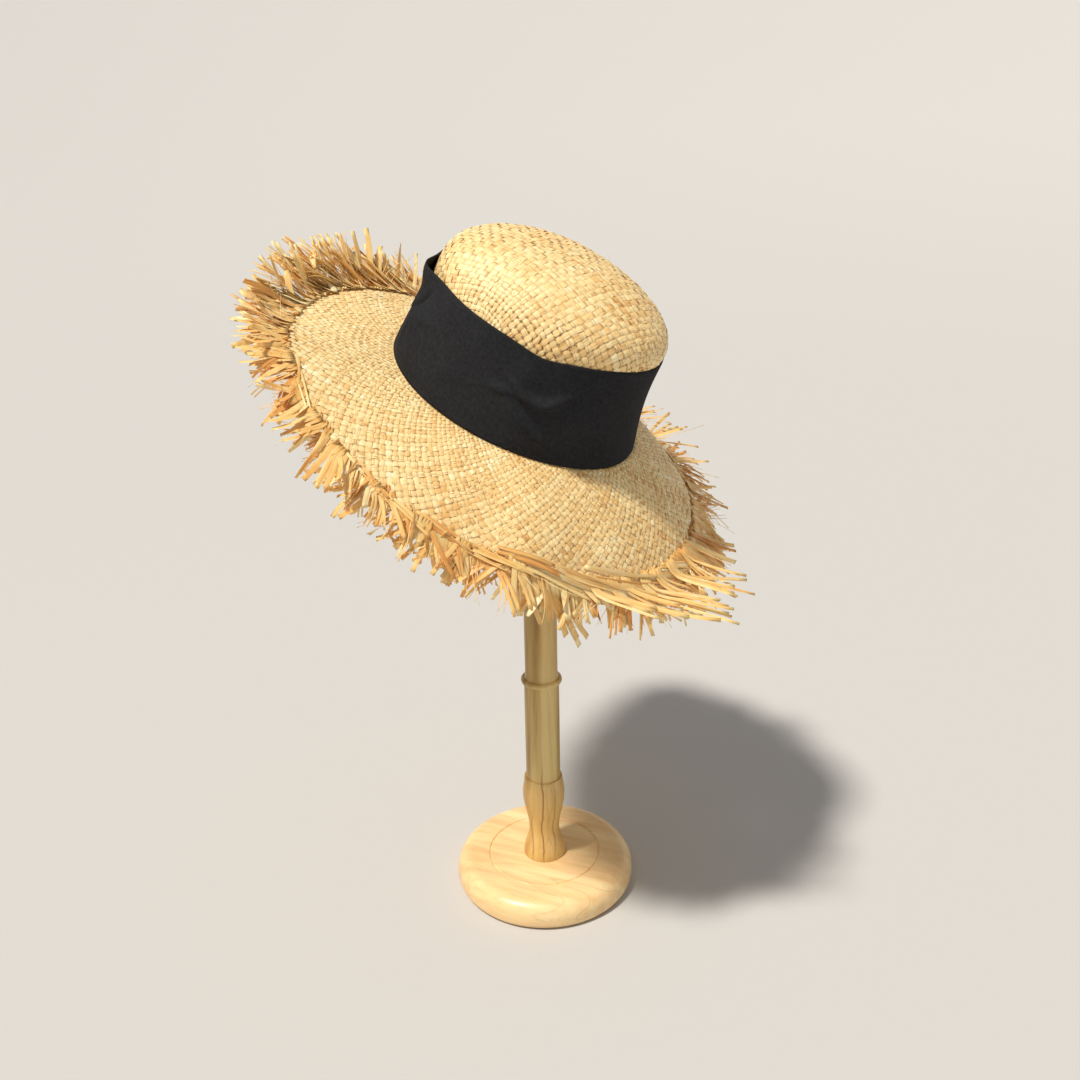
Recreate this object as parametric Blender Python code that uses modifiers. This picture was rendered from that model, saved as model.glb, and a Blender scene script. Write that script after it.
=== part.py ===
"""A wide-brimmed raffia sun hat with a frayed edge and a wide cloth band, on a plain turned wooden stand.

Metres, +Z up. The origin is the middle of the stand's foot, on the surface that it stands on. Azimuths are in
degrees from +X towards +Y, about the stand's axis or about the hat's own. The hat leans to +X and nods to -Y.
"""

import math

import bpy
from mathutils import Vector

# The stand: a turned foot, a turned pole and a ball-shaped knob hidden in the crown
FOOT_RADIUS = 0.077
FOOT_THICKNESS = 0.0235
FOOT_TOP_EDGE = 0.0130
FOOT_LOWER_EDGE = 0.0060
GROOVE_RADIUS = 0.048
GROOVE_WIDTH = 0.0024
GROOVE_DEPTH = 0.0012
FLARE_RADIUS = 0.0167
WAIST_RADIUS = 0.0131
BULGE_RADIUS = 0.0181
STEP_RADIUS = 0.0160
SHAFT_RADIUS = 0.0146
RING_RADIUS = 0.0171
NECK_RADIUS = 0.0135
FLARE_RISE = 0.026
BULGE_RISE = 0.036
STEP_RISE = 0.016
SHAFT_LENGTH = 0.088
RING_HEIGHT = 0.011
KNOB_RADIUS = 0.040
KNOB_CUT = 0.026

# The hat's pose on the knob, about the middle of the crown's mouth
HAT_X = -0.0148
HAT_Y = 0.0000
HAT_Z = 0.4400
LEAN = math.radians(23.0)
NOD = math.radians(14.6)

# The crown: an oval wall that leans in, under a domed tip
CROWN_LENGTH = 0.1934
CROWN_WIDTH = 0.1724
OVAL_TURN = -20.6
SIDE_HEIGHT = 0.0705
SIDE_ANGLE = math.radians(7.6)
TIP_RISE = 0.0412
TIP_SQUARENESS = 2.10
STRAW_WALL = 0.0020
DENT_DEPTH = 0.0030

# The brim, measured from the crown's outer wall, and its frayed edge
BRIM_WIDTH = 0.0800
BRIM_SEAT = 0.0040
FRINGE_LENGTH = 0.0450
FRINGE_BACKING = 0.0050
FRINGE_WALL = 0.0018

# The cloth band
BAND_HEIGHT = 0.0720
BAND_WALL = 0.0010
BAND_STANDOFF = 0.0080

# Touching pieces keep GAP, and the crown's tip keeps SEAT_GAP over the knob
GAP = 0.0003
SEAT_GAP = 0.0007

# Facets round the hat and round the stand
HAT_SIDES = 64
FOOT_SIDES = 48
POLE_SIDES = 24
CORNERS_PER_LOCK = (0.0, 0.22, 0.78)

STRAW = ("straw", (0.80, 0.58, 0.30), 0.70)
FRAY = ("frayed_straw", (0.83, 0.55, 0.27), 0.75)
CLOTH = ("black_cloth", (0.012, 0.012, 0.013), 0.90)
WOOD = ("pale_wood", (0.74, 0.52, 0.28), 0.45)
POLE_WOOD = ("olive_wood", (0.50, 0.36, 0.17), 0.45)

# azimuth, width as a share of BRIM_WIDTH, droop in degrees
BRIM_ROWS = (
    (0, 1.00, 30.0),
    (30, 1.00, 33.0),
    (60, 1.00, 33.0),
    (90, 1.00, 29.0),
    (120, 1.00, 20.0),
    (150, 1.00, 12.2),
    (180, 1.00, 9.5),
    (200, 1.00, 2.5),
    (215, 1.00, 8.0),
    (240, 1.00, 18.0),
    (270, 1.00, 29.5),
    (285, 1.00, 28.0),
    (300, 1.03, 33.0),
    (315, 1.06, 32.5),
    (335, 1.05, 31.0),
)

# azimuth, length as a share of FRINGE_LENGTH, lift above the brim's own line in degrees
FRINGE_ROWS = (
    (0, 1.10, 12.0),
    (45, 0.95, 30.0),
    (90, 1.00, 35.0),
    (125, 1.15, 52.0),
    (160, 1.18, 52.0),
    (185, 1.00, 28.0),
    (210, 0.84, 0.0),
    (230, 0.88, -10.0),
    (265, 0.97, -14.0),
    (300, 1.05, -3.0),
    (330, 1.05, 5.0),
    (345, 1.10, 15.0),
)

# azimuth, spread in degrees, height and spread as shares of BAND_HEIGHT, lift as a share of BAND_STANDOFF
BAND_FOLDS = (
    (189, 8, 1.00, 0.28, 1.00),
    (199, 10, 0.18, 0.24, 0.40),
    (292, 9, 0.52, 0.14, 0.28),
    (283, 11, 0.24, 0.14, 0.20),
    (95, 22, 0.85, 0.50, 0.50),
    (20, 18, 0.55, 0.35, 0.25),
)

# azimuth, spread in degrees, angle up the tip's curve and its spread in degrees, depth as a share of DENT_DEPTH
CROWN_DENTS = (
    (50, 34, 38, 26, 0.8),
    (250, 30, 30, 22, 0.6),
    (150, 40, 62, 24, 0.5),
)


def material(name, colour, roughness):
    """Return a plain Principled material."""
    made = bpy.data.materials.new(name)
    made.use_nodes = True
    shader = made.node_tree.nodes["Principled BSDF"]
    shader.inputs["Base Color"].default_value = (*colour, 1.0)
    shader.inputs["Roughness"].default_value = roughness
    shader.inputs["Metallic"].default_value = 0.0
    return made


def new_object(name, points, faces, look, collection, parent):
    """Make a mesh object, shaded smooth, in the collection and under its parent."""
    mesh = bpy.data.meshes.new(name)
    mesh.from_pydata(points, [], faces)
    mesh.shade_smooth()
    made = bpy.data.objects.new(name, mesh)
    made.data.materials.append(look)
    made.parent = parent
    collection.objects.link(made)
    return made


def turned(name, profile, sides, look, collection, parent):
    """Turn a profile about Z: (radius, height) points, down its outer side from the top."""
    points = [(radius, 0.0, height) for radius, height in profile]
    edges = [(i, i + 1) for i in range(len(points) - 1)]
    mesh = bpy.data.meshes.new(name)
    mesh.from_pydata(points, edges, [])
    made = bpy.data.objects.new(name, mesh)
    made.data.materials.append(look)
    made.parent = parent
    collection.objects.link(made)
    screw = made.modifiers.new("Turn", "SCREW")
    screw.axis = "Z"
    screw.steps = sides
    screw.render_steps = sides
    screw.use_merge_vertices = True
    screw.merge_threshold = 0.00001
    return made


def lofted(name, rings, tip, look, collection, parent):
    """Skin a shell's surface over closed rings of equal count, and over a last point where there is a tip."""
    count = len(rings[0])
    points = [point for ring in rings for point in ring]
    faces = []
    for lower in range(len(rings) - 1):
        for i in range(count):
            after = (i + 1) % count
            row = lower * count
            faces.append((row + i, row + after, row + count + after, row + count + i))
    if tip is not None:
        last = (len(rings) - 1) * count
        points.append(tip)
        faces += [(last + i, last + (i + 1) % count, len(points) - 1) for i in range(count)]
    return new_object(name, points, faces, look, collection, parent)


def thicken(shell, thickness, side, even=True):
    """Give a surface its wall, on the outer side for side 1 and on the inner side for side -1."""
    solidify = shell.modifiers.new("Wall", "SOLIDIFY")
    solidify.thickness = thickness
    solidify.offset = side
    solidify.use_even_offset = even
    solidify.use_rim = True


def along(rows, azimuth):
    """Read a table's columns at an azimuth, smoothly through its rows and round past the last one."""
    azimuth %= 360.0
    count = len(rows)
    here = max((i for i in range(count) if rows[i][0] <= azimuth), default=count - 1)
    near = [rows[(here + step) % count] for step in (-1, 0, 1, 2)]
    span = (near[2][0] - near[1][0]) % 360.0
    share = ((azimuth - near[1][0]) % 360.0) / span
    before = (near[1][0] - near[0][0]) % 360.0
    beyond = (near[3][0] - near[2][0]) % 360.0
    values = []
    for column in range(1, len(near[1])):
        p0, p1, p2, p3 = (row[column] for row in near)
        slope1 = (p2 - p0) / (before + span) * span
        slope2 = (p3 - p1) / (span + beyond) * span
        values.append(
            p1 * (1 + 2 * share) * (1 - share) ** 2
            + slope1 * share * (1 - share) ** 2
            + p2 * share**2 * (3 - 2 * share)
            - slope2 * share**2 * (1 - share)
        )
    return values


def turn_between(azimuth, middle):
    """Return how far two azimuths lie apart, in degrees."""
    return abs((azimuth - middle + 180.0) % 360.0 - 180.0)


def swell(distance, spread):
    """Return a bump of height 1 that dies away over a few spreads."""
    return math.exp(-0.5 * (distance / spread) ** 2)


def direction(azimuth):
    """Return the unit vector at an azimuth."""
    angle = math.radians(azimuth)
    return Vector((math.cos(angle), math.sin(angle), 0.0))


def side_radius(azimuth, height):
    """Return the crown's outer radius on its side wall."""
    angle = math.radians(azimuth - OVAL_TURN)
    half_length = CROWN_LENGTH / 2
    half_width = CROWN_WIDTH / 2
    oval = half_length * half_width / math.hypot(half_width * math.cos(angle), half_length * math.sin(angle))
    return oval - height * math.tan(SIDE_ANGLE)


def azimuths(count, shares=(0.0,)):
    """Return the azimuths of a ring, with a point at each share of every step."""
    return [360.0 * (step + share) / count for step in range(count) for share in shares]


def crown_point(azimuth, rise):
    """Return a point of the tip's outer surface, with the rise as an angle up from the shoulder."""
    across = math.cos(math.radians(rise)) ** (2 / TIP_SQUARENESS)
    upward = math.sin(math.radians(rise)) ** (2 / TIP_SQUARENESS)
    dent = 0.0
    for middle, spread, level, level_spread, depth in CROWN_DENTS:
        dent += depth * DENT_DEPTH * swell(turn_between(azimuth, middle), spread) * swell(rise - level, level_spread)
    outward = direction(azimuth) * side_radius(azimuth, SIDE_HEIGHT) * across
    height = crown_foot() + SIDE_HEIGHT + TIP_RISE * upward
    shrink = Vector((outward.x, outward.y, TIP_RISE * upward)).normalized()
    return Vector((outward.x, outward.y, height)) - shrink * dent * (across**0.5)


def crown_foot():
    """Return the height of the wall's outer edge, whose inner edge then lies GAP above the brim."""
    return GAP + STRAW_WALL * math.sin(SIDE_ANGLE)


def make_crown(look, collection, parent):
    """Make the crown's wall and tip."""
    around = azimuths(HAT_SIDES)
    rings = []
    for share in (0.0, 0.34, 0.68, 1.0):
        height = SIDE_HEIGHT * share
        rings.append([direction(a) * side_radius(a, height) + Vector((0, 0, crown_foot() + height)) for a in around])
    for rise in (12, 25, 38, 51, 64, 76):
        rings.append([crown_point(a, rise) for a in around])
    tip = Vector((0, 0, crown_foot() + SIDE_HEIGHT + TIP_RISE))
    crown = lofted("crown", rings, tip, look, collection, parent)
    thicken(crown, STRAW_WALL, -1)
    return crown


def brim_point(azimuth, share):
    """Return a point of the brim's top, a share of the way out, and the brim's slope there in radians."""
    width_share, droop = along(BRIM_ROWS, azimuth)
    width = BRIM_WIDTH * width_share
    start = side_radius(azimuth, 0.0) + BRIM_SEAT
    reach = width - BRIM_SEAT
    steps = 12
    radius, height, slope = start, 0.0, 0.0
    for step in range(steps):
        slope = math.radians(droop) * (0.70 + 0.60 * share * (step + 0.5) / steps)
        radius += reach * share / steps * math.cos(slope)
        height -= reach * share / steps * math.sin(slope)
    slope = math.radians(droop) * (0.70 + 0.60 * share)
    return direction(azimuth) * radius + Vector((0, 0, height)), slope


def make_brim(look, collection, parent):
    """Make the brim, flat under the crown's wall and drooping from there to its woven edge."""
    around = azimuths(HAT_SIDES)
    inner = [direction(a) * (side_radius(a, 0.0) - STRAW_WALL) for a in around]
    rings = [inner]
    for share in (0.0, 0.22, 0.48, 0.75, 1.0):
        rings.append([brim_point(a, share)[0] for a in around])
    rings.reverse()
    brim = lofted("brim", rings, None, look, collection, parent)
    thicken(brim, STRAW_WALL, -1)
    return brim


def fringe_point(azimuth, share, lock, lean):
    """Return a point of the frayed edge: past the backing it bends by the table's lift and leans sideways."""
    edge, slope = brim_point(azimuth, 1.0)
    length_share, lift = along(FRINGE_ROWS, azimuth)
    outward = direction(azimuth)
    sideways = direction(azimuth + 90.0)
    along_brim = outward * math.cos(slope) - Vector((0, 0, math.sin(slope)))
    bent = slope - math.radians(lift)
    along_lock = outward * math.cos(bent) - Vector((0, 0, math.sin(bent)))
    free = (FRINGE_LENGTH * length_share - FRINGE_BACKING) * lock
    backing = GAP + min(share / 0.15, 1.0) * FRINGE_BACKING
    hang = max(share - 0.15, 0.0) / 0.85 * free
    return edge + along_brim * backing + along_lock * hang + sideways * hang * lean


def make_fringe(look, collection, parent):
    """Make the frayed edge as pointed locks on a backing that carries on from the brim."""
    rings = []
    for share, notch_share in ((0.0, 0.0), (0.15, 0.15), (0.60, 0.28), (1.0, 0.34)):
        ring = []
        for lock in range(HAT_SIDES):
            length = 0.86 + 0.14 * math.sin(lock * 2.4) * math.cos(lock * 0.9)
            lean = 0.22 * math.sin(lock * 1.7)
            for corner, offset in enumerate(CORNERS_PER_LOCK):
                azimuth = 360.0 * (lock + offset) / HAT_SIDES
                taper = 0.35 * share * (0.5 - offset) * (360.0 / HAT_SIDES)
                if corner == 0:
                    ring.append(fringe_point(azimuth, notch_share, length, 0.0))
                else:
                    ring.append(fringe_point(azimuth + taper, share, length, lean))
        rings.append(ring)
    rings.reverse()
    fringe = lofted("fringe", rings, None, look, collection, parent)
    thicken(fringe, FRINGE_WALL, -1, even=False)
    return fringe


def band_lift(azimuth, share):
    """Return how far the band stands off the crown at an azimuth and a share of its height."""
    lift = 0.0
    for middle, spread, level, level_spread, amount in BAND_FOLDS:
        across = swell(turn_between(azimuth, middle), spread)
        lift += amount * BAND_STANDOFF * across * swell(share - level, level_spread)
    return lift * min(share / 0.12, 1.0)


def make_band(look, collection, parent):
    """Make the cloth band round the crown, with its folds and the corner that stands off."""
    around = azimuths(HAT_SIDES)
    rings = []
    for share in (0.0, 0.2, 0.4, 0.6, 0.8, 1.0):
        height = BAND_HEIGHT * share
        ring = []
        for a in around:
            radius = side_radius(a, height) + GAP / math.cos(SIDE_ANGLE) + band_lift(a, share)
            ring.append(direction(a) * radius + Vector((0, 0, crown_foot() + height)))
        rings.append(ring)
    band = lofted("hat_band", rings, None, look, collection, parent)
    thicken(band, BAND_WALL, 1)
    return band


def knob_centre(crown):
    """Return the height at which the knob's ball, on the stand's axis, keeps SEAT_GAP under the crown's wall."""
    bpy.context.view_layer.update()
    evaluated = crown.evaluated_get(bpy.context.evaluated_depsgraph_get())
    reach = KNOB_RADIUS + SEAT_GAP
    heights = []
    for vertex in evaluated.data.vertices:
        point = crown.matrix_world @ vertex.co
        off_axis = math.hypot(point.x, point.y)
        if off_axis < reach:
            heights.append(point.z - math.sqrt(reach**2 - off_axis**2))
    return min(heights)


def curve(start, end, steps):
    """Return points that ease from one (radius, height) to the next, without the first."""
    points = []
    for step in range(1, steps + 1):
        share = step / steps
        eased = (1 - math.cos(math.pi * share)) / 2
        points.append((start[0] + (end[0] - start[0]) * eased, start[1] + (end[1] - start[1]) * share))
    return points


def arc(middle, radius, first, last, steps):
    """Return points on an arc about a (radius, height) middle, angles in degrees up from outward."""
    points = []
    for step in range(steps + 1):
        angle = math.radians(first + (last - first) * step / steps)
        points.append((middle[0] + radius * math.cos(angle), middle[1] + radius * math.sin(angle)))
    return points


def make_foot(look, collection, parent):
    """Make the round foot, rounded wide above and less below, with the ring groove in its top."""
    profile = [(0.0, FOOT_THICKNESS)]
    profile.append((GROOVE_RADIUS - GROOVE_WIDTH / 2, FOOT_THICKNESS))
    profile.append((GROOVE_RADIUS, FOOT_THICKNESS - GROOVE_DEPTH))
    profile.append((GROOVE_RADIUS + GROOVE_WIDTH / 2, FOOT_THICKNESS))
    upper = min(FOOT_TOP_EDGE, 0.65 * FOOT_THICKNESS)
    lower = min(FOOT_LOWER_EDGE, 0.30 * FOOT_THICKNESS)
    profile += arc((FOOT_RADIUS - upper, FOOT_THICKNESS - upper), upper, 90, 0, 5)
    profile += arc((FOOT_RADIUS - lower, lower), lower, 0, -90, 3)
    profile.append((0.0, 0.0))
    return turned("stand_foot", profile, FOOT_SIDES, look, collection, parent)


def make_pole(top, look, collection, parent):
    """Make the turned pole up to the underside of the knob: flare, waist, bulge, step, shaft, ring and neck."""
    foot = FOOT_THICKNESS + GAP
    waist = foot + FLARE_RISE
    bulge = waist + BULGE_RISE
    step = bulge + STEP_RISE
    ring = step + SHAFT_LENGTH
    bead = (RING_RADIUS - RING_HEIGHT / 4, ring + RING_HEIGHT / 2)
    profile = [(0.0, foot), (FLARE_RADIUS, foot)]
    profile += curve(profile[-1], (WAIST_RADIUS, waist), 3)
    profile += curve(profile[-1], (BULGE_RADIUS, bulge), 3)
    profile += curve(profile[-1], (STEP_RADIUS, step), 2)
    profile.append((SHAFT_RADIUS, step))
    profile.append((SHAFT_RADIUS, ring))
    profile += arc(bead, RING_HEIGHT / 4, -90, 90, 4)
    profile.append((NECK_RADIUS, ring + RING_HEIGHT))
    profile.append((NECK_RADIUS, top))
    profile.append((0.0, top))
    profile.reverse()
    return turned("stand_pole", profile, POLE_SIDES, look, collection, parent)


def make_knob(centre, look, collection, parent):
    """Make the knob, a ball cut flat where the pole meets it."""
    cut_angle = math.degrees(math.asin(-KNOB_CUT / KNOB_RADIUS))
    profile = arc((0.0, centre), KNOB_RADIUS, 90, cut_angle, 9)
    profile[0] = (0.0, centre + KNOB_RADIUS)
    profile.append((0.0, centre - KNOB_CUT))
    return turned("stand_knob", profile, POLE_SIDES, look, collection, parent)


def main():
    for old in list(bpy.data.objects):
        bpy.data.objects.remove(old)
    collection = bpy.data.collections.new("raffia_hat_on_stand")
    bpy.context.scene.collection.children.link(collection)
    stand = bpy.data.objects.new("stand", None)
    hat = bpy.data.objects.new("hat", None)
    hat.location = (HAT_X, HAT_Y, HAT_Z)
    hat.rotation_euler = (NOD, LEAN, 0.0)
    for frame in (stand, hat):
        collection.objects.link(frame)
    straw, fray, cloth, wood, pole_wood = (material(*look) for look in (STRAW, FRAY, CLOTH, WOOD, POLE_WOOD))

    crown = make_crown(straw, collection, hat)
    make_brim(straw, collection, hat)
    make_fringe(fray, collection, hat)
    make_band(cloth, collection, hat)

    centre = knob_centre(crown)
    make_foot(wood, collection, stand)
    make_pole(centre - KNOB_CUT - GAP, pole_wood, collection, stand)
    make_knob(centre, wood, collection, stand)


main()
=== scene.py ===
# %% [markdown]
# # A raffia sun hat on a turned wooden stand
#
# This lesson dresses a plain CAD model of a hat and its stand. The CAD solids give the sizes and places,
# and they stay in the physics model. Each one is replaced here by a detailed piece in the same space: woven
# strips for the crown and the brim, loose raffia ends for the frayed edge, a cloth band, and a turned,
# polished stand.
#
# Everything is in metres, with +Z up, the viewer on the -Y side, and the origin under the middle of the
# foot.

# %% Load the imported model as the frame
import math

import bpy
import numpy as np
from mathutils import Matrix, Vector


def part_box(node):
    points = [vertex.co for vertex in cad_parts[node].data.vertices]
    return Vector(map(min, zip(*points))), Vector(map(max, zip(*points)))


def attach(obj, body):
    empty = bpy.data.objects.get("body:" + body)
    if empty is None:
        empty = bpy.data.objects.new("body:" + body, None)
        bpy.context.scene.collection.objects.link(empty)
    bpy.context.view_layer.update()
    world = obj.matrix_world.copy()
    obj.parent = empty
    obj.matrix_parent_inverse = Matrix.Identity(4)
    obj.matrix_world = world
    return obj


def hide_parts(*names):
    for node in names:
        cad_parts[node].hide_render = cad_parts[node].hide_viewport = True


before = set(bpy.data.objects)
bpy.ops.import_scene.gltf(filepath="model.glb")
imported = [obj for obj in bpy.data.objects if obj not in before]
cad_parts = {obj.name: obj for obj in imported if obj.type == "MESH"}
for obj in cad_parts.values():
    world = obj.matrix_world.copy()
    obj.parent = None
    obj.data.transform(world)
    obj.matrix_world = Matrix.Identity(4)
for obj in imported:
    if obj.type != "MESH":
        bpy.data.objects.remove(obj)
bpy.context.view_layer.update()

for node_name in sorted(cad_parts):
    low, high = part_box(node_name)
    print(node_name, [round(v, 4) for v in low], [round(v, 4) for v in high])

# %% [markdown]
# ## The camera
#
# The photograph looks down on the hat from a little above it. A pinhole camera was fitted to the foot's
# disc, with a focal length assumed: it stands 0.79 m in front of the pole and 0.63 m above the floor, looks
# down by 21 degrees, and is rolled by one degree. A 36 mm lens on a 36 mm square sensor gives the assumed
# field of view.

# %% Place the camera where the photograph was taken from
CAMERA_PLACE = (0.0010, -0.7942, 0.6297)
CAMERA_DOWN = math.radians(21.37)
CAMERA_ROLL = math.radians(-1.1)
SENSOR_WIDTH = 36.0
LENS = 36.0


def add_object(name, data):
    """Put an object with this data into the scene and return it."""
    made = bpy.data.objects.new(name, data)
    bpy.context.scene.collection.objects.link(made)
    return made


camera_data = bpy.data.cameras.new("photo_camera")
camera_data.sensor_width = SENSOR_WIDTH
camera_data.lens = LENS
camera = add_object("photo_camera", camera_data)
tilt = Matrix.Rotation(math.pi / 2 - CAMERA_DOWN, 4, "X")
camera.matrix_world = Matrix.Translation(CAMERA_PLACE) @ tilt @ Matrix.Rotation(CAMERA_ROLL, 4, "Z")
bpy.context.scene.camera = camera
print("camera at", CAMERA_PLACE)

# %% [markdown]
# ## Shader maths
#
# A procedural material is a small calculation that runs at each point of the surface. Wiring it by hand
# takes a node for each plus and minus. This class wraps a socket instead, so that a sum written in Python
# adds the nodes.

# %% A socket that can be added, multiplied and mixed
class Value:
    """A socket in a material's node tree, with the arithmetic that the materials use."""

    def __init__(self, tree, socket):
        self.tree = tree
        self.socket = socket

    def node(self, kind, output=0, settings=None, **inputs):
        """Add a node with these settings, then these values or links, and return one of its outputs."""
        made = self.tree.nodes.new(kind)
        for name, setting in (settings or {}).items():
            if name == "stops":
                fill_ramp(made.color_ramp, setting)
            else:
                setattr(made, name, setting)
        for name, value in inputs.items():
            key = int(name[1:]) if name[1:].isdigit() else name.replace("_", " ")
            if isinstance(value, Value):
                self.tree.links.new(value.socket, made.inputs[key])
            else:
                made.inputs[key].default_value = value
        return Value(self.tree, made.outputs[output])

    def math(self, operation, first, second=0.0):
        return self.node("ShaderNodeMath", settings={"operation": operation}, i0=first, i1=second)

    def __add__(self, other):
        return self.math("ADD", self, other)

    def __radd__(self, other):
        return self.math("ADD", other, self)

    def __sub__(self, other):
        return self.math("SUBTRACT", self, other)

    def __rsub__(self, other):
        return self.math("SUBTRACT", other, self)

    def __mul__(self, other):
        return self.math("MULTIPLY", self, other)

    def __abs__(self):
        return self.math("ABSOLUTE", self)

    def sine(self):
        return self.math("SINE", self)

    def part(self, axis):
        """Return one part of a vector, by its number: 0, 1 or 2."""
        return self.node("ShaderNodeSeparateXYZ", output=axis, i0=self)

    def clear(self, low, high):
        """Return 0 below low, 1 above high, and a straight line between, never outside 0 to 1."""
        return self.node("ShaderNodeMapRange", Value=self, From_Min=low, From_Max=high)


def fill_ramp(ramp, stops):
    """Give a colour ramp its stops: (place, colour) pairs."""
    while len(ramp.elements) > 1:
        ramp.elements.remove(ramp.elements[-1])
    for index, (place, colour) in enumerate(stops):
        element = ramp.elements[0] if index == 0 else ramp.elements.new(place)
        element.position = place
        element.color = (*colour, 1.0)


def linear(red, green, blue):
    """Turn a colour as a screen shows it, 0 to 255, into the linear light that the shader wants."""
    shares = (v / 255 for v in (red, green, blue))
    return tuple(v / 12.92 if v <= 0.04045 else ((v + 0.055) / 1.055) ** 2.4 for v in shares)


# %% A new material, and the handles that every material here starts from
def new_material(name, roughness, **fixed):
    """Return a material, its shader node and a Value to start expressions from."""
    made = bpy.data.materials.new(name)
    made.use_nodes = True
    shader = made.node_tree.nodes["Principled BSDF"]
    shader.inputs["Roughness"].default_value = roughness
    for socket, value in fixed.items():
        shader.inputs[socket.replace("_", " ")].default_value = value
    return made, shader, Value(made.node_tree, None)


def mix(start, share, first, second, how="MIX"):
    """Mix two colours by a share that may be a number or a Value."""
    return start.node(
        "ShaderNodeMix",
        output=2,
        settings={"data_type": "RGBA", "blend_type": how},
        i0=share,
        i6=first if isinstance(first, Value) else (*first, 1.0),
        i7=second if isinstance(second, Value) else (*second, 1.0),
    )


def noise(start, vector, scale, detail=2.0, roughness=0.5):
    """Return a noise field from 0 to 1 over a vector."""
    return start.node("ShaderNodeTexNoise", Vector=vector, Scale=scale, Detail=detail, Roughness=roughness)


def stretched(start, vector, across, along, third=1.0):
    """Scale a vector's three directions before a texture reads it."""
    return start.node(
        "ShaderNodeVectorMath", settings={"operation": "MULTIPLY"}, i0=vector, i1=(across, along, third)
    )


def connect(shader, socket, value):
    """Link a Value to one of the shader's sockets."""
    value.tree.links.new(value.socket, shader.inputs[socket])


def bump(start, shader, height, distance, strength=1.0):
    """Raise a height field on the surface, in metres at height 1."""
    made = start.node("ShaderNodeBump", Height=height, Distance=distance, Strength=strength)
    connect(shader, "Normal", made)


# %% [markdown]
# ## The sizes of the hat
#
# These are the CAD source's sizes and tables, with a few small changes that the photograph asked for later:
# the tip is a little higher and squarer, the side sags and swells a little at the right, and the band has
# one more fold under its corner. The hat leans to the right and nods to the viewer, and all its pieces are
# worked out upright, about the middle of the crown's mouth, and then placed with one matrix.

# %% The hat's sizes and its place on the stand
HAT_PLACE = (-0.0148, 0.0, 0.4400)
LEAN = math.radians(23.0)
NOD = math.radians(14.6)
CROWN_LENGTH = 0.1934
CROWN_WIDTH = 0.1724
OVAL_TURN = -20.6
SIDE_HEIGHT = 0.0705
SIDE_ANGLE = math.radians(7.6)
TIP_RISE = 0.0424
TIP_SQUARENESS = 2.30
STRAW_WALL = 0.0020
DENT_DEPTH = 0.0030
BRIM_WIDTH = 0.0800
BRIM_SEAT = 0.0040
FRINGE_LENGTH = 0.0450
BAND_HEIGHT = 0.0720
BAND_WALL = 0.0010
BAND_STANDOFF = 0.0080
GAP = 0.0003
CROWN_FOOT = GAP + STRAW_WALL * math.sin(SIDE_ANGLE)

hat_place = Matrix.Translation(HAT_PLACE) @ Matrix.Rotation(LEAN, 4, "Y") @ Matrix.Rotation(NOD, 4, "X")
HAT_TURN = np.array(hat_place.to_3x3())


def to_stand(points):
    """Move points from the hat's own upright place to where it hangs on the stand."""
    return points @ HAT_TURN.T + np.array(HAT_PLACE)


# %% The tables that shape the hat round its oval
# azimuth, width as a share of BRIM_WIDTH, droop in degrees
BRIM_ROWS = (
    (0, 1.00, 30.0),
    (30, 1.00, 33.0),
    (60, 1.00, 33.0),
    (90, 1.00, 29.0),
    (120, 1.00, 20.0),
    (150, 1.00, 12.2),
    (180, 1.00, 9.5),
    (200, 1.00, 2.5),
    (215, 1.00, 8.0),
    (240, 1.00, 18.0),
    (270, 1.00, 29.5),
    (285, 1.00, 28.0),
    (300, 1.03, 33.0),
    (315, 1.06, 32.5),
    (335, 1.05, 31.0),
)

# azimuth, length as a share of FRINGE_LENGTH, lift above the brim's own line in degrees
FRINGE_ROWS = (
    (0, 1.10, 12.0),
    (45, 0.95, 30.0),
    (90, 1.00, 35.0),
    (125, 1.15, 52.0),
    (160, 1.18, 52.0),
    (185, 1.00, 28.0),
    (210, 0.84, 0.0),
    (230, 0.88, -10.0),
    (265, 0.97, -14.0),
    (300, 1.05, -3.0),
    (330, 1.05, 5.0),
    (345, 1.10, 15.0),
)

# azimuth, spread in degrees, height and spread as shares of BAND_HEIGHT, lift as a share of BAND_STANDOFF
BAND_FOLDS = (
    (188, 7, 1.00, 0.17, 1.00),
    (193, 8, 0.58, 0.10, 0.34),
    (199, 10, 0.18, 0.24, 0.40),
    (292, 9, 0.52, 0.14, 0.28),
    (283, 11, 0.24, 0.14, 0.20),
    (95, 22, 0.85, 0.50, 0.50),
    (20, 18, 0.55, 0.35, 0.25),
)

# azimuth, its spread, angle up the tip's curve and its spread in degrees, depth as a share of DENT_DEPTH,
# where a depth below nothing is a fuller place
CROWN_DENTS = (
    (50, 34, 38, 26, 0.8),
    (250, 30, 30, 22, 0.6),
    (150, 40, 62, 24, 0.5),
    (352, 40, 18, 14, -0.8),
)
DENT_FADE = 8.0

# azimuth and spread in degrees, and how far the wall goes in or out there in metres
WALL_SAG = (342.0, 28.0, 0.0034)
FOOT_SWELL = (318.0, 16.0, 0.0016)


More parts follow.
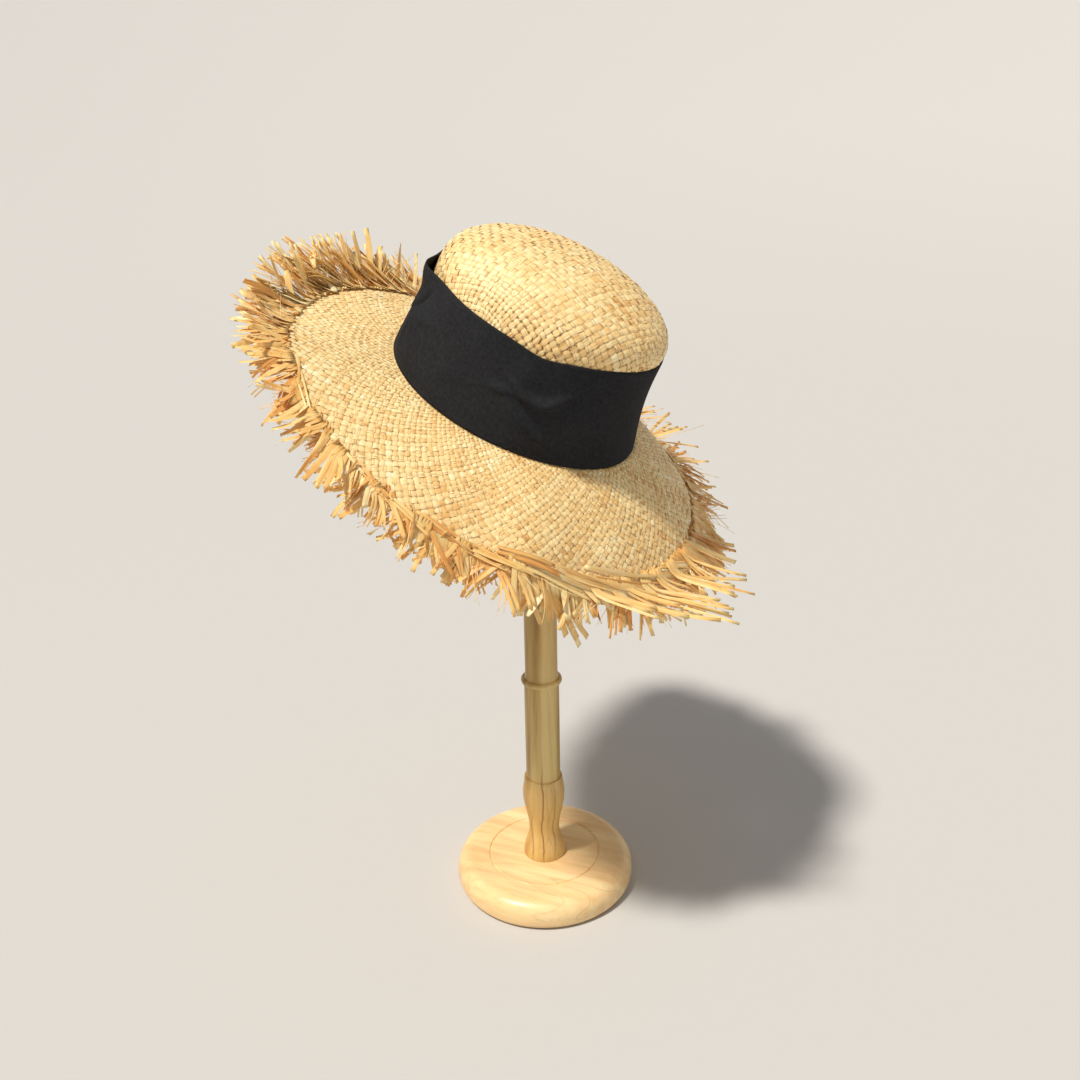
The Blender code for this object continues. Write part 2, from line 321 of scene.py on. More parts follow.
# %% Read a table at many azimuths at once
def read_table(rows, azimuth):
    """Return a table's columns at the azimuths, smooth through its rows and round past the last one."""
    table = np.array(rows, dtype=float)
    azimuth = np.asarray(azimuth, dtype=float) % 360.0
    here = np.searchsorted(table[:, 0], azimuth, side="right") - 1
    p0, p1, p2, p3 = (table[(here + step) % len(table)] for step in (-1, 0, 1, 2))
    span = (p2[..., :1] - p1[..., :1]) % 360.0
    before = (p1[..., :1] - p0[..., :1]) % 360.0
    beyond = (p3[..., :1] - p2[..., :1]) % 360.0
    share = ((azimuth[..., None] - p1[..., :1]) % 360.0) / span
    slope1 = (p2 - p0) / (before + span) * span
    slope2 = (p3 - p1) / (span + beyond) * span
    value = p1 * (1 + 2 * share) * (1 - share) ** 2 + p2 * share**2 * (3 - 2 * share)
    value = value + slope1 * share * (1 - share) ** 2 - slope2 * share**2 * (1 - share)
    return np.moveaxis(value[..., 1:], -1, 0)


def turn_between(azimuth, middle):
    """Return how far azimuths lie from a middle one, in degrees, with its sign."""
    return (azimuth - middle + 180.0) % 360.0 - 180.0


def swell(distance, spread):
    """Return a bump of height 1 that dies away over a few spreads."""
    return np.exp(-0.5 * (distance / spread) ** 2)


def direction(azimuth):
    """Return the unit vectors at the azimuths."""
    angle = np.radians(azimuth)
    return np.stack([np.cos(angle), np.sin(angle), np.zeros_like(angle)], axis=-1)


def upward(amount):
    """Return vectors of these heights."""
    amount = np.asarray(amount, dtype=float)
    return np.stack([np.zeros_like(amount), np.zeros_like(amount), amount], axis=-1)


def unit(vectors):
    """Return vectors at length 1."""
    return vectors / np.maximum(np.linalg.norm(vectors, axis=-1, keepdims=True), 1e-12)


def side_radius(azimuth, height):
    """Return the crown's outer radius on its side wall."""
    angle = np.radians(azimuth - OVAL_TURN)
    half_length = CROWN_LENGTH / 2
    half_width = CROWN_WIDTH / 2
    oval = half_length * half_width / np.hypot(half_width * np.cos(angle), half_length * np.sin(angle))
    return oval - height * math.tan(SIDE_ANGLE)


def wall_radius(azimuth, height):
    """Return the radius of the soft wall, which sags in at the right and is fuller at its foot there."""
    share = np.clip(height / SIDE_HEIGHT, 0.0, 1.0)
    sag_middle, sag_spread, sag_depth = WALL_SAG
    full_middle, full_spread, full_depth = FOOT_SWELL
    sag = sag_depth * swell(turn_between(azimuth, sag_middle), sag_spread) * np.sin(np.pi * share)
    full = full_depth * swell(turn_between(azimuth, full_middle), full_spread) * (1.0 - share) ** 2
    return side_radius(azimuth, height) - sag + full


# %% [markdown]
# ## The weave
#
# The hat looks woven from one set of raffia strips, each about 4 mm wide. Here they start as a square mat
# in the middle of the tip, where they cross at right angles. Where the mat's four sides turn down, the
# strips of both directions go on and cross at a slant, all round the side. The brim has strips of its own,
# at the same slant, out to the frayed edge. A bump map could fake this, but its edges would look painted
# on. Here every strip is a real, thin, crowned ribbon that goes over and under its neighbours, so light
# catches it. The small holes between the strips are dark partly from real shade and partly from painted
# shade, which darkens each strip's edges where it dives under its neighbours.
#
# First comes the surface that the weave follows. The crown's surface is read at a point of a flat disc,
# whose middle is the tip and whose rim is the crown's foot, so that nothing special happens at the tip.

# %% The crown's surface over a flat disc
def tip_points(azimuth, rise):
    """Return points of the domed tip, with the rise as an angle up from the shoulder."""
    across = np.cos(np.radians(rise)) ** (2 / TIP_SQUARENESS)
    up = np.sin(np.radians(rise)) ** (2 / TIP_SQUARENESS)
    dent = 0.0
    for middle, spread, level, level_spread, depth in CROWN_DENTS:
        hollow = swell(turn_between(azimuth, middle), spread) * swell(rise - level, level_spread)
        dent = dent + depth * DENT_DEPTH * hollow
    dent = dent * np.clip(rise / DENT_FADE, 0.0, 1.0) * across**0.5
    outward = direction(azimuth) * (side_radius(azimuth, SIDE_HEIGHT) * across)[..., None]
    shrink = unit(outward + upward(TIP_RISE * up))
    return outward + upward(CROWN_FOOT + SIDE_HEIGHT + TIP_RISE * up) - shrink * dent[..., None]


RISES = np.linspace(90.0, 0.0, 241)
meridian = tip_points(np.full(RISES.shape, OVAL_TURN + 45.0), RISES)
DOME_LENGTHS = np.concatenate([[0.0], np.cumsum(np.linalg.norm(np.diff(meridian, axis=0), axis=1))])
SIDE_LENGTH = SIDE_HEIGHT / math.cos(SIDE_ANGLE)
MERIDIAN = DOME_LENGTHS[-1] + SIDE_LENGTH
print("tip to shoulder", round(DOME_LENGTHS[-1], 4), "tip to foot", round(MERIDIAN, 4))


def crown_surface(disc):
    """Return points of the crown's outer surface for points of the disc, in metres from the tip."""
    distance = np.hypot(disc[..., 0], disc[..., 1])
    azimuth = np.degrees(np.arctan2(disc[..., 1], disc[..., 0]))
    rise = np.interp(distance, DOME_LENGTHS, RISES)
    dome = tip_points(azimuth, rise)
    height = np.clip(SIDE_HEIGHT - (distance - DOME_LENGTHS[-1]) * math.cos(SIDE_ANGLE), 0.0, SIDE_HEIGHT)
    side = direction(azimuth) * wall_radius(azimuth, height)[..., None] + upward(CROWN_FOOT + height)
    return np.where((distance < DOME_LENGTHS[-1])[..., None], dome, side)


def surface_frame(surface, place, step=0.0002):
    """Return a surface's points at a place and its two slopes there, by a small step each way."""
    middle = surface(place)
    first = (surface(place + np.array([step, 0.0])) - surface(place - np.array([step, 0.0]))) / (2 * step)
    second = (surface(place + np.array([0.0, step])) - surface(place - np.array([0.0, step]))) / (2 * step)
    return middle, first, second


# %% [markdown]
# The crown's lattice is the list of all places where two strips cross. The mat is a square standing on its
# corner, and rings of crossings follow it down the side. Strips that run one way round as they go down are
# called left, and the others right. At the mat's edge each strip carries on as a left or a right one, so
# that it goes over and under without a break from one side of the hat to the other.

# %% List the crossings of the crown's strips
MAT_STRIPS = 24
SIDE_RINGS = 29
MAT_PITCH = 0.00405
CORNER_AZIMUTH = 236.0
AROUND = 4 * MAT_STRIPS
HALVES = [k + 0.5 for k in range(-MAT_STRIPS, MAT_STRIPS)]


def crown_lattice():
    """Return the crossings' first places on the disc, and each crossing's number by its name."""
    places = []
    number = {}

    def add(name, angle, distance):
        number[name] = len(places)
        angle = angle + math.radians(CORNER_AZIMUTH)
        places.append((distance * math.cos(angle), distance * math.sin(angle)))

    for i in HALVES:
        for j in HALVES:
            if abs(i) + abs(j) <= MAT_STRIPS:
                add(("mat", i, j), math.atan2(j, i), MAT_PITCH * math.hypot(i, j))
    for ring in range(1, SIDE_RINGS + 1):
        for step in range(AROUND):
            u = (0.5 + step + ring / 2) % AROUND
            quarter, part = divmod(u, MAT_STRIPS)
            mat_angle = math.atan2(part, MAT_STRIPS - part) + quarter * math.pi / 2
            mat_distance = MAT_PITCH * math.hypot(part, MAT_STRIPS - part)
            share = ring / SIDE_RINGS
            even_angle = 2 * math.pi * u / AROUND
            angle = mat_angle + (even_angle - mat_angle) * min(1.0, 2 * share)
            add(("ring", ring, step), angle, mat_distance + (MERIDIAN - mat_distance) * share)
    return np.array(places), number


crown_places, crown_number = crown_lattice()
print("crown crossings", len(crown_places))


def ring_run(end_u, hand):
    """Return a strip's crossings down the side from the mat's edge: hand 1 is right, -1 is left."""
    run = []
    for ring in range(1, SIDE_RINGS + 1):
        step = round(end_u + hand * ring / 2 - 0.5 - ring / 2) % AROUND
        over = (hand < 0) == (ring % 2 == 0)
        run.append((crown_number[("ring", ring, step)], over))
    return run


def crown_strips():
    """Return each strip of the crown from foot to foot, over the mat, as (crossing, is it on top)."""
    strips = []
    for turned in (False, True):
        for row in HALVES:
            reach = MAT_STRIPS - abs(row)
            mat = []
            for k in range(int(2 * reach) + 1):
                i, j = (row, k - reach) if turned else (k - reach, row)
                mat.append((crown_number[("mat", i, j)], (round(i + j) % 2 == 1) == turned))
            hand = -1 if (row > 0) == turned else 1
            first = 3 * MAT_STRIPS + row if turned else 2 * MAT_STRIPS - row
            last = MAT_STRIPS - row if turned else row
            strips.append(ring_run(first, hand)[::-1] + mat + ring_run(last, -hand))
    return strips


crown_runs = crown_strips()
print("crown strips", len(crown_runs), "most crossings", max(len(run) for run in crown_runs))

# %% [markdown]
# The lattice's first places are rough. In a real hat the strips settle until each crossing is pulled evenly
# by the four strip lengths that leave it. The same is done here: every crossing moves towards the mean of
# its four neighbours, and stays on the surface. A little momentum makes this settle in a few hundred
# rounds.

# %% Let the crossings settle on the surface
def neighbour_table(runs, count):
    """Return each crossing's four neighbours, and which crossings have fewer and so stay fixed."""
    table = np.full((count, 4), -1)
    filled = np.zeros(count, dtype=int)
    for run in runs:
        nodes = [node for node, _ in run]
        for first, second in zip(nodes, nodes[1:]):
            for here, there in ((first, second), (second, first)):
                table[here, filled[here]] = there
                filled[here] += 1
    return table, filled < 4


def settle(places, surface, runs, rounds, momentum=0.94):
    """Move each crossing's place until its four neighbours pull it evenly."""
    table, fixed = neighbour_table(runs, len(places))
    speed = np.zeros_like(places)
    for _ in range(rounds):
        middle, first, second = surface_frame(surface, places)
        pull = middle[table].mean(axis=1) - middle
        aa = (first * first).sum(axis=1)
        ab = (first * second).sum(axis=1)
        bb = (second * second).sum(axis=1)
        pa = (first * pull).sum(axis=1)
        pb = (second * pull).sum(axis=1)
        divisor = np.maximum(aa * bb - ab * ab, 1e-6)
        step = np.stack([(bb * pa - ab * pb) / divisor, (aa * pb - ab * pa) / divisor], axis=1)
        speed = momentum * speed + step
        speed[fixed] = 0.0
        places = places + speed
    return places, float(np.abs(step[~fixed]).max())


SETTLE_ROUNDS = 260
crown_places, last_step = settle(crown_places, crown_surface, crown_runs, SETTLE_ROUNDS)
print("crown settled, last step", round(last_step * 1000, 5), "mm")

# %% [markdown]
# ## From crossings to ribbons
#
# A strip is a path through its crossings, lifted above the middle of the weave where it is on top and
# dropped below it where it is not. Its width comes from the room that its neighbours leave. Each strip gets
# a section of four corners: two thin edges, and a top and an underside that are both a little raised. Its
# edges are marked sharp, so that each face shades softly and the edge stays crisp. All strips of one
# direction become one mesh, filled from arrays.

# %% Turn paths into ribbon meshes
def smooth_path(nodes, parts):
    """Return points on a smooth curve through the nodes, with this many parts to each gap."""
    padded = np.concatenate([2 * nodes[:1] - nodes[1:2], nodes, 2 * nodes[-1:] - nodes[-2:-1]])
    pieces = []
    for part in range(parts):
        t = part / parts
        a, b, c, d = padded[:-3], padded[1:-2], padded[2:-1], padded[3:]
        curve = 2 * b + (c - a) * t + (2 * a - 5 * b + 4 * c - d) * t**2
        curve = curve + (3 * b - a - 3 * c + d) * t**3
        pieces.append(0.5 * curve)
    inner = np.stack(pieces, axis=1).reshape(-1, nodes.shape[1])
    return np.concatenate([inner, nodes[-1:]])


def ribbon(points, normals, half_width, thickness, tone, start=0.0, hollow=0.0):
    """Return a ribbon's vertices in rings of four, their places on it, their tones and their painted shade.
    """
    forward = unit(np.gradient(points, axis=0))
    across = unit(np.cross(forward, normals))
    up = np.cross(across, forward)
    half = np.asarray(half_width)[:, None]
    crown = up * (0.5 * thickness)
    corners = [points - across * half, points + crown, points + across * half, points - crown]
    length = start + np.concatenate([[0.0], np.cumsum(np.linalg.norm(np.diff(points, axis=0), axis=1))])
    flat = np.zeros_like(half[:, 0])
    places = [np.stack([length, side], axis=1) for side in (-half[:, 0], flat, half[:, 0], flat)]
    rings = np.stack(corners, axis=1)
    tones = np.broadcast_to(np.asarray(tone, dtype=float).reshape(-1, 1), rings.shape[:2])
    # the painted shade lies on the two edge corners only, so it fades towards the strip's middle
    painted_shades = np.zeros(rings.shape[:2])
    painted_shades[:, ::2] = np.asarray(hollow, dtype=float).reshape(-1, 1)
    return rings, np.stack(places, axis=1), np.clip(tones, 0.0, 1.0), painted_shades


def ribbon_faces(first, sections):
    """Return the quads of a ribbon whose vertices start at a number."""
    ring = first + 4 * np.arange(sections - 1)[:, None]
    near = np.arange(4)[None, :]
    far = (near + 1) % 4
    sides = np.stack([ring + near, ring + far, ring + 4 + far, ring + 4 + near], axis=-1).reshape(-1, 4)
    last = first + 4 * (sections - 1)
    caps = np.array([[first, first + 3, first + 2, first + 1], [last, last + 1, last + 2, last + 3]])
    return np.concatenate([sides, caps])


def quad_mesh(name, points, faces, map_name, places):
    """Return a smooth mesh of quads, whose UV map holds the place of each face's corners in metres."""
    mesh = bpy.data.meshes.new(name)
    mesh.vertices.add(len(points))
    mesh.vertices.foreach_set("co", to_stand(points).astype(np.float32).ravel())
    mesh.loops.add(faces.size)
    mesh.loops.foreach_set("vertex_index", faces.astype(np.int32).ravel())
    mesh.polygons.add(len(faces))
    mesh.polygons.foreach_set("loop_start", np.arange(0, faces.size, 4, dtype=np.int32))
    mesh.polygons.foreach_set("use_smooth", np.ones(len(faces), dtype=bool))
    mesh.update(calc_edges=True)
    place_map = mesh.uv_layers.new(name=map_name)
    place_map.data.foreach_set("uv", places.astype(np.float32).ravel())
    return mesh


def ribbon_mesh(name, ribbons, material):
    """Make one object from many ribbons, with three fields for the material to read."""
    faces = []
    count = 0
    for parts in ribbons:
        faces.append(ribbon_faces(count, len(parts[0])))
        count += 4 * len(parts[0])
    faces = np.concatenate(faces)
    joined = [np.concatenate([parts[kind] for parts in ribbons]) for kind in range(4)]
    points, places, tones, painted_shades = joined
    mesh = quad_mesh(name, points.reshape(-1, 3), faces, "strip", places.reshape(-1, 2)[faces.ravel()])
    rims = np.tile([1.0, 0.0], count // 2)
    # hollow holds the painted shade; rim marks the edges for the bump
    for field, values in (("tone", tones), ("hollow", painted_shades), ("rim", rims)):
        field_data = mesh.attributes.new(field, "FLOAT", "POINT")
        field_data.data.foreach_set("value", values.astype(np.float32).ravel())
    ends = np.zeros(2 * len(mesh.edges), dtype=np.int32)
    mesh.edges.foreach_get("vertices", ends)
    corner = ends.reshape(-1, 2) % 4
    sharp = (corner[:, 0] == corner[:, 1]) & (corner[:, 0] % 2 == 0)
    edge_data = mesh.attributes.new("sharp_edge", "BOOLEAN", "EDGE")
    edge_data.data.foreach_set("value", sharp)
    made = add_object(name, mesh)
    made.data.materials.append(material)
    print(name, len(ribbons), "strips", 2 * len(faces), "triangles")
    return made


# %% [markdown]
# ## The raffia material
#
# Raffia is a palm leaf's skin: pale yellow with some tan and orange strips, with fine fibres that run along
# the strip, and a soft shine along them. The ribbon's own UV map gives metres along and across it, so the
# fibres follow every strip. The tone gives each strip its own colour, with some painted shade mixed in, and
# the hollow field lays darker painted shade on a strip's edges where it dives under its neighbours.

# %% The raffia, for the woven strips and for the loose ends
# how often the fine fibres and the splits repeat in a metre, along a strip and across it
FIBRES = (45.0, 1500.0)
SPLITS = (24.0, 680.0)
AGED = linear(188, 132, 72)
# painted shade: the dark colour laid on strips' edges where they dive under, and in the weave's holes
PAINTED_SHADE = linear(92, 56, 26)
RAFFIA_ROUGHNESS = 0.46
FIBRE_DEPTH = 0.00022


def raffia(name, stops, streak, lines, pillow, **fixed):
    """Return a raffia material whose colours run through the stops by each strip's tone."""
    made, shader, start = new_material(name, RAFFIA_ROUGHNESS, Specular_IOR_Level=0.45, **fixed)
    place = start.node("ShaderNodeUVMap", settings={"uv_map": "strip"})
    tone, rim, hollow = (
        start.node("ShaderNodeAttribute", output=2, settings={"attribute_name": field})
        for field in ("tone", "rim", "hollow")
    )
    here = start.node("ShaderNodeTexCoord", output=3)
    fibre = noise(start, stretched(start, place, *FIBRES), 1.0, 3.0, 0.6)
    split = noise(start, stretched(start, place, *SPLITS), 1.0, 1.0, 0.4)
    patch = noise(start, here, 95.0, 2.0)
    broad = noise(start, here, 13.0, 1.0)
    shade = (tone + (patch - 0.5) * 0.55 + (broad - 0.5) * 0.35 + (fibre - 0.5) * streak).clear(0.0, 1.0)
    colour = start.node("ShaderNodeValToRGB", settings={"stops": stops}, Fac=shade)
    line = (1 - fibre.clear(0.32, 0.44)) * 0.5 + (1 - split.clear(0.36, 0.42))
    aged = mix(start, (line * lines).clear(0.0, 1.0), colour, AGED)
    # painted shade from the hollow field, strongest at a strip's edges where it goes under
    shadowed = mix(start, hollow.clear(0.25, 1.0) * 0.80, aged, PAINTED_SHADE)
    connect(shader, "Base Color", shadowed)
    connect(shader, "Roughness", RAFFIA_ROUGHNESS + (fibre - 0.5) * 0.25)
    bump(start, shader, fibre * 0.6 + split * 1.3 + (1 - rim * rim) * pillow, FIBRE_DEPTH)
    return made


WEAVE_STOPS = (
    (0.00, linear(208, 150, 86)),
    (0.20, linear(232, 184, 114)),
    (0.45, linear(247, 212, 148)),
    (0.75, linear(254, 231, 174)),
    (1.00, linear(255, 242, 202)),
)
weave_raffia = raffia("woven_raffia", WEAVE_STOPS, streak=0.50, lines=0.55, pillow=0.2)

# %% [markdown]
# ## The crown
#
# The crown's strips follow the settled lattice, just under the CAD solid's outer face. Over the shoulder at
# the front the strips are slack, so the weave is wider there and small holes open between them, made darker
# by stronger painted shade on the strips' edges.

# %% Turn runs of crossings into ribbons
# depth of the weave's middle under the CAD face, thickness of a strip, and how far it waves, in metres
STRIP_DEPTH = 0.0006
STRIP_THICKNESS = 0.00034
STRIP_WAVE = 0.00043
PARTS = 4
FLATNESS = 0.4
# spreads of the seeded chance in a strip's width, wave, roll, tone and place
WIDTH_CHANCE = 0.06
RELIEF_CHANCE = 0.22
ROLL_CHANCE = 0.07
TONE_DRIFT = 0.010
PLACE_CHANCE = 0.00016
STRIP_OFFSET = 0.37
seeded = np.random.default_rng(7)


def strip_room(runs, middle):
    """Return the width that each strip may have at each crossing, between its two neighbours there."""
    crossing = {}
    for index, run in enumerate(runs):
        nodes = [node for node, _ in run]
        for node, vector in zip(nodes, np.gradient(middle[nodes], axis=0)):
            crossing.setdefault(node, []).append((index, vector))
    room = {}
    for node, pair in crossing.items():
        if len(pair) == 2:
            (one, vector_one), (two, vector_two) = pair
            area = np.linalg.norm(np.cross(vector_one, vector_two))
            room[(one, node)] = area / max(np.linalg.norm(vector_one), 1e-9)
            room[(two, node)] = area / max(np.linalg.norm(vector_two), 1e-9)
    return room


def weave(runs, places, surface, fill, tone_middle, tone_spread, shadow=1.0, facing=1.0):
    """Return the ribbons of a woven surface from its runs of crossings."""
    middle, first, second = surface_frame(surface, places)
    normals = unit(np.cross(first, second)) * facing
    room = strip_room(runs, middle)
    ribbons = []
    for index, run in enumerate(runs):
        nodes = np.array([node for node, _ in run])
        over = np.array([1.0 if top else -1.0 for _, top in run])
        widths = np.array([room.get((index, node), np.nan) for node in nodes])
        known = np.flatnonzero(~np.isnan(widths))
        widths = np.interp(np.arange(len(widths)), known, widths[known])
        widths = widths * np.broadcast_to(fill, len(places))[nodes]
        widths = widths * (1 + WIDTH_CHANCE * seeded.standard_normal(len(widths)))
        path = smooth_path(np.concatenate([middle[nodes], normals[nodes], widths[:, None]], axis=1), PARTS)
        phase = np.arange(len(path)) / PARTS
        crossings = np.arange(len(over))
        relief = np.interp(phase, crossings, 1 + RELIEF_CHANCE * seeded.standard_normal(len(over)))
        roll = np.interp(phase, crossings, ROLL_CHANCE * seeded.standard_normal(len(over)))
        turn = np.cos(np.pi * (phase % 1.0))
        lift = over[np.minimum(phase.astype(int), len(over) - 1)] * np.sign(turn) * np.abs(turn) ** FLATNESS
        normal = unit(path[:, 3:6])
        points = path[:, :3] + normal * (lift * relief * STRIP_WAVE - STRIP_DEPTH)[:, None]
        normal = unit(normal + np.cross(unit(np.gradient(points, axis=0)), normal) * roll[:, None])
        shade = np.interp(phase, crossings, np.broadcast_to(shadow, len(places))[nodes])
        # painted shade: darker where the strip dives under its neighbours, at the corners between strips,
        # scaled by shadow
        hollow = (1 - np.abs(lift)) * seeded.uniform(0.1, 1.0, len(path)) * shade
        drift = np.cumsum(seeded.standard_normal(len(path))) * TONE_DRIFT
        # the 0.05 * lift in the tone is painted shade too: lighter where the strip lies on top, darker
        # where it goes under
        tone = tone_middle + tone_spread * seeded.standard_normal() + drift - drift.mean() + 0.05 * lift
        half = path[:, 6] * (1 + 0.05 * lift)
        ribbons.append(ribbon(points, normal, half, STRIP_THICKNESS, tone, index * STRIP_OFFSET, hollow))
    return ribbons


# %% Loosen the weave over the front of the shoulder, and weave the crown
# where the slack weave lies, in metres past the shoulder and in degrees round, each with its spread
SLACK_PAST = (-0.006, 0.013)
SLACK_ROUND = (268.0, 48.0)
SLACK_CORNERS = (232.0, 256.0, 280.0, 304.0)
SLACK_PULL = 0.27
SLACK_SPREAD = 0.016

crown_places = crown_places + PLACE_CHANCE * seeded.standard_normal(crown_places.shape)
from_shoulder = np.hypot(crown_places[:, 0], crown_places[:, 1]) - DOME_LENGTHS[-1]
crown_azimuth = np.degrees(np.arctan2(crown_places[:, 1], crown_places[:, 0]))
open_weave = swell(from_shoulder - SLACK_PAST[0], SLACK_PAST[1])
open_weave = open_weave * swell(turn_between(crown_azimuth, SLACK_ROUND[0]), SLACK_ROUND[1])
for azimuth in SLACK_CORNERS:
    away = crown_places - (DOME_LENGTHS[-1] - 0.001) * direction(azimuth)[:2]
    nearness = swell(np.hypot(away[:, 0], away[:, 1]), SLACK_SPREAD)
    crown_places = crown_places + SLACK_PULL * away * nearness[:, None]
crown_ribbons = weave(
    crown_runs,
    crown_places,
    crown_surface,
    fill=0.506 - 0.140 * open_weave,
    tone_middle=0.51,
    tone_spread=0.10,
    shadow=0.60 + 1.10 * open_weave,
)
half_way = len(crown_ribbons) // 2
print("crown ribbons", len(crown_ribbons))

# %% Add stray hairs and make the crown's two meshes
# azimuth, angle up the tip's curve in degrees and length in metres of the hairs that stand off the crown
HAIRS = (
    (60, 40, 0.010),
    (63, 36, 0.007),
    (66, 33, 0.009),
    (20, 50, 0.006),
    (325, 20, 0.006),
)
HAIR_THICKNESS = 0.00015
for azimuth, rise, length in HAIRS:
    root = tip_points(np.array(azimuth), np.array(rise))
    outward = unit(root - np.array([0.0, 0.0, 0.5 * SIDE_HEIGHT]))
    t = np.linspace(0, 1, 7)[:, None]
    sideways = direction(azimuth + 90.0 + 40.0 * seeded.standard_normal())
    hair = root + length * (outward * (t - 0.35 * t**2) + sideways * 0.7 * t**2)
    normals = np.broadcast_to(sideways, hair.shape)
    crown_ribbons.append(ribbon(hair, normals, np.linspace(0.0002, 0.0001, 7), HAIR_THICKNESS, 0.5))
crown_pieces = [
    ribbon_mesh("crown_strips_a", crown_ribbons[:half_way], weave_raffia),
    ribbon_mesh("crown_strips_b", crown_ribbons[half_way:], weave_raffia),
]
for piece in crown_pieces:
    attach(piece, "root")
    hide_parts("crown")

# %% [markdown]
# ## The brim
#
# The brim carries the same slanting strips outwards. Its top is worked out by walking down the brim's slope
# in short steps, as in the CAD source. It is wider round than the crown, so it has 148 strips each way
# where the crown has 96. They start under the band, where the change doesn't show.

# %% The brim's surface
SLOPE_STEPS = 12
SLOPE_AT_SEAT = 0.70
SLOPE_GAIN = 0.60
SLOPE_AT_EDGE = 1.30


def brim_surface(place):
    """Return points of the brim's top for (azimuth in radians, metres out from its seat) pairs."""
    azimuth = np.degrees(place[..., 0])
    out = place[..., 1]
    width_share, droop = read_table(BRIM_ROWS, azimuth)
    reach = BRIM_WIDTH * width_share - BRIM_SEAT
    share = np.maximum(out, 0.0) / (BRIM_WIDTH - BRIM_SEAT)
    radius = side_radius(azimuth, 0.0) + BRIM_SEAT + np.minimum(out, 0.0)
    height = np.zeros_like(radius)
    for step in range(SLOPE_STEPS):
        slope = np.radians(droop) * (SLOPE_AT_SEAT + SLOPE_GAIN * share * (step + 0.5) / SLOPE_STEPS)
        radius = radius + reach * share / SLOPE_STEPS * np.cos(slope)
        height = height - reach * share / SLOPE_STEPS * np.sin(slope)
    return direction(azimuth) * radius[..., None] + upward(height)


# %% List the crossings of the brim's strips and weave them
BRIM_STRIPS = 148
BRIM_RINGS = 29
BRIM_START = -0.0052
BRIM_END = BRIM_WIDTH - BRIM_SEAT
EVEN_SHARE = 0.86
STRAY = 0.00025
MEAN_RADIUS = 0.13
ring_share = np.linspace(0, 1, BRIM_RINGS + 1)
ring_spread = EVEN_SHARE * ring_share + 0.14 * ring_share**2
ring_out = BRIM_START + (BRIM_END - BRIM_START) * ring_spread
brim_places = np.array(
    [
        (math.radians(360.0 * ((step + ring / 2) % BRIM_STRIPS) / BRIM_STRIPS), ring_out[ring])
        for ring in range(BRIM_RINGS + 1)
        for step in range(BRIM_STRIPS)
    ]
)
stray = seeded.standard_normal(brim_places.shape) * np.array([STRAY / MEAN_RADIUS, STRAY])
brim_places[BRIM_STRIPS:-BRIM_STRIPS] += stray[BRIM_STRIPS:-BRIM_STRIPS]

brim_runs = []
for hand in (1, -1):
    for strip in range(BRIM_STRIPS):
        run = []
        for ring in range(BRIM_RINGS + 1):
            step = strip if hand > 0 else (strip - ring) % BRIM_STRIPS
            run.append((ring * BRIM_STRIPS + step, (hand < 0) == (ring % 2 == 0)))
        brim_runs.append(run)

brim_ribbons = weave(
    brim_runs,
    brim_places,
    brim_surface,
    fill=0.492,
    tone_middle=0.49,
    tone_spread=0.115,
    shadow=1.45,
    facing=-1.0,
)
brim_pieces = [
    ribbon_mesh("brim_strips_a", brim_ribbons[:BRIM_STRIPS], weave_raffia),
    ribbon_mesh("brim_strips_b", brim_ribbons[BRIM_STRIPS:], weave_raffia),
]
for piece in brim_pieces:
    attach(piece, "root")
    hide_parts("brim")

# %% [markdown]
# ## The frayed edge
#
# Past the last row of the weave the strips are left loose, and each one splits along its fibres into up to
# four narrow ends, some of them forked. They leave the edge in the direction of their strip, still crossing
# those of the other direction, and then hang, curl and twist. So each end starts where its woven strip
# stops. Its length and lift come from the table, with some chance from a seeded generator, so that every
# run is the same.

# %% The style of the ends round the edge
# azimuth, slant across the edge in degrees, untidiness, curl, width of an end in metres, length share,
# how many more layers lie over the first, and how far those lean along the edge in degrees
FRAY_ROWS = (
    (0, 34, 0.70, 0.12, 0.0030, 1.14, 0.9, 14),
    (40, 30, 1.05, 0.45, 0.0027, 1.12, 0.9, 0),
    (80, 30, 0.80, 0.25, 0.0026, 1.08, 0.8, 12),
    (110, 16, 0.55, 0.20, 0.0042, 1.22, 2.2, 34),
    (150, 14, 0.60, 0.24, 0.0044, 1.18, 2.4, 34),
    (172, 22, 0.80, 0.34, 0.0044, 1.08, 1.8, 10),
    (190, 24, 1.00, 0.42, 0.0040, 1.04, 1.2, -8),
    (215, 32, 1.25, 0.62, 0.0036, 0.98, 0.40, -4),
    (250, 36, 1.25, 0.46, 0.0038, 0.94, 0.35, 0),
    (275, 36, 0.95, 0.20, 0.0042, 0.92, 0.4, 4),
    (295, 36, 0.80, 0.12, 0.0044, 0.90, 0.4, 6),
    (325, 36, 0.60, 0.08, 0.0036, 1.12, 0.9, 28),
)
FRAY_STOPS = (
    (0.00, linear(196, 122, 52)),
    (0.22, linear(227, 160, 84)),
    (0.50, linear(244, 192, 116)),
    (0.78, linear(252, 215, 146)),
    (1.00, linear(255, 234, 182)),
)
loose_raffia = raffia(
    "loose_raffia",
    FRAY_STOPS,
    streak=0.55,
    lines=0.28,
    pillow=0.1,
    Subsurface_Weight=0.34,
    Subsurface_Scale=0.0007,
    Subsurface_Radius=(1.0, 0.92, 0.80),
)
EDGE = BRIM_WIDTH - BRIM_SEAT
REACH = 0.0100
END_THICKNESS = 0.00034
SETTING_OFF = 0.36
fringe_low, fringe_high = (np.array(corner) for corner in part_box("fringe"))
fray = np.random.default_rng(23)
fringe_ribbons = []


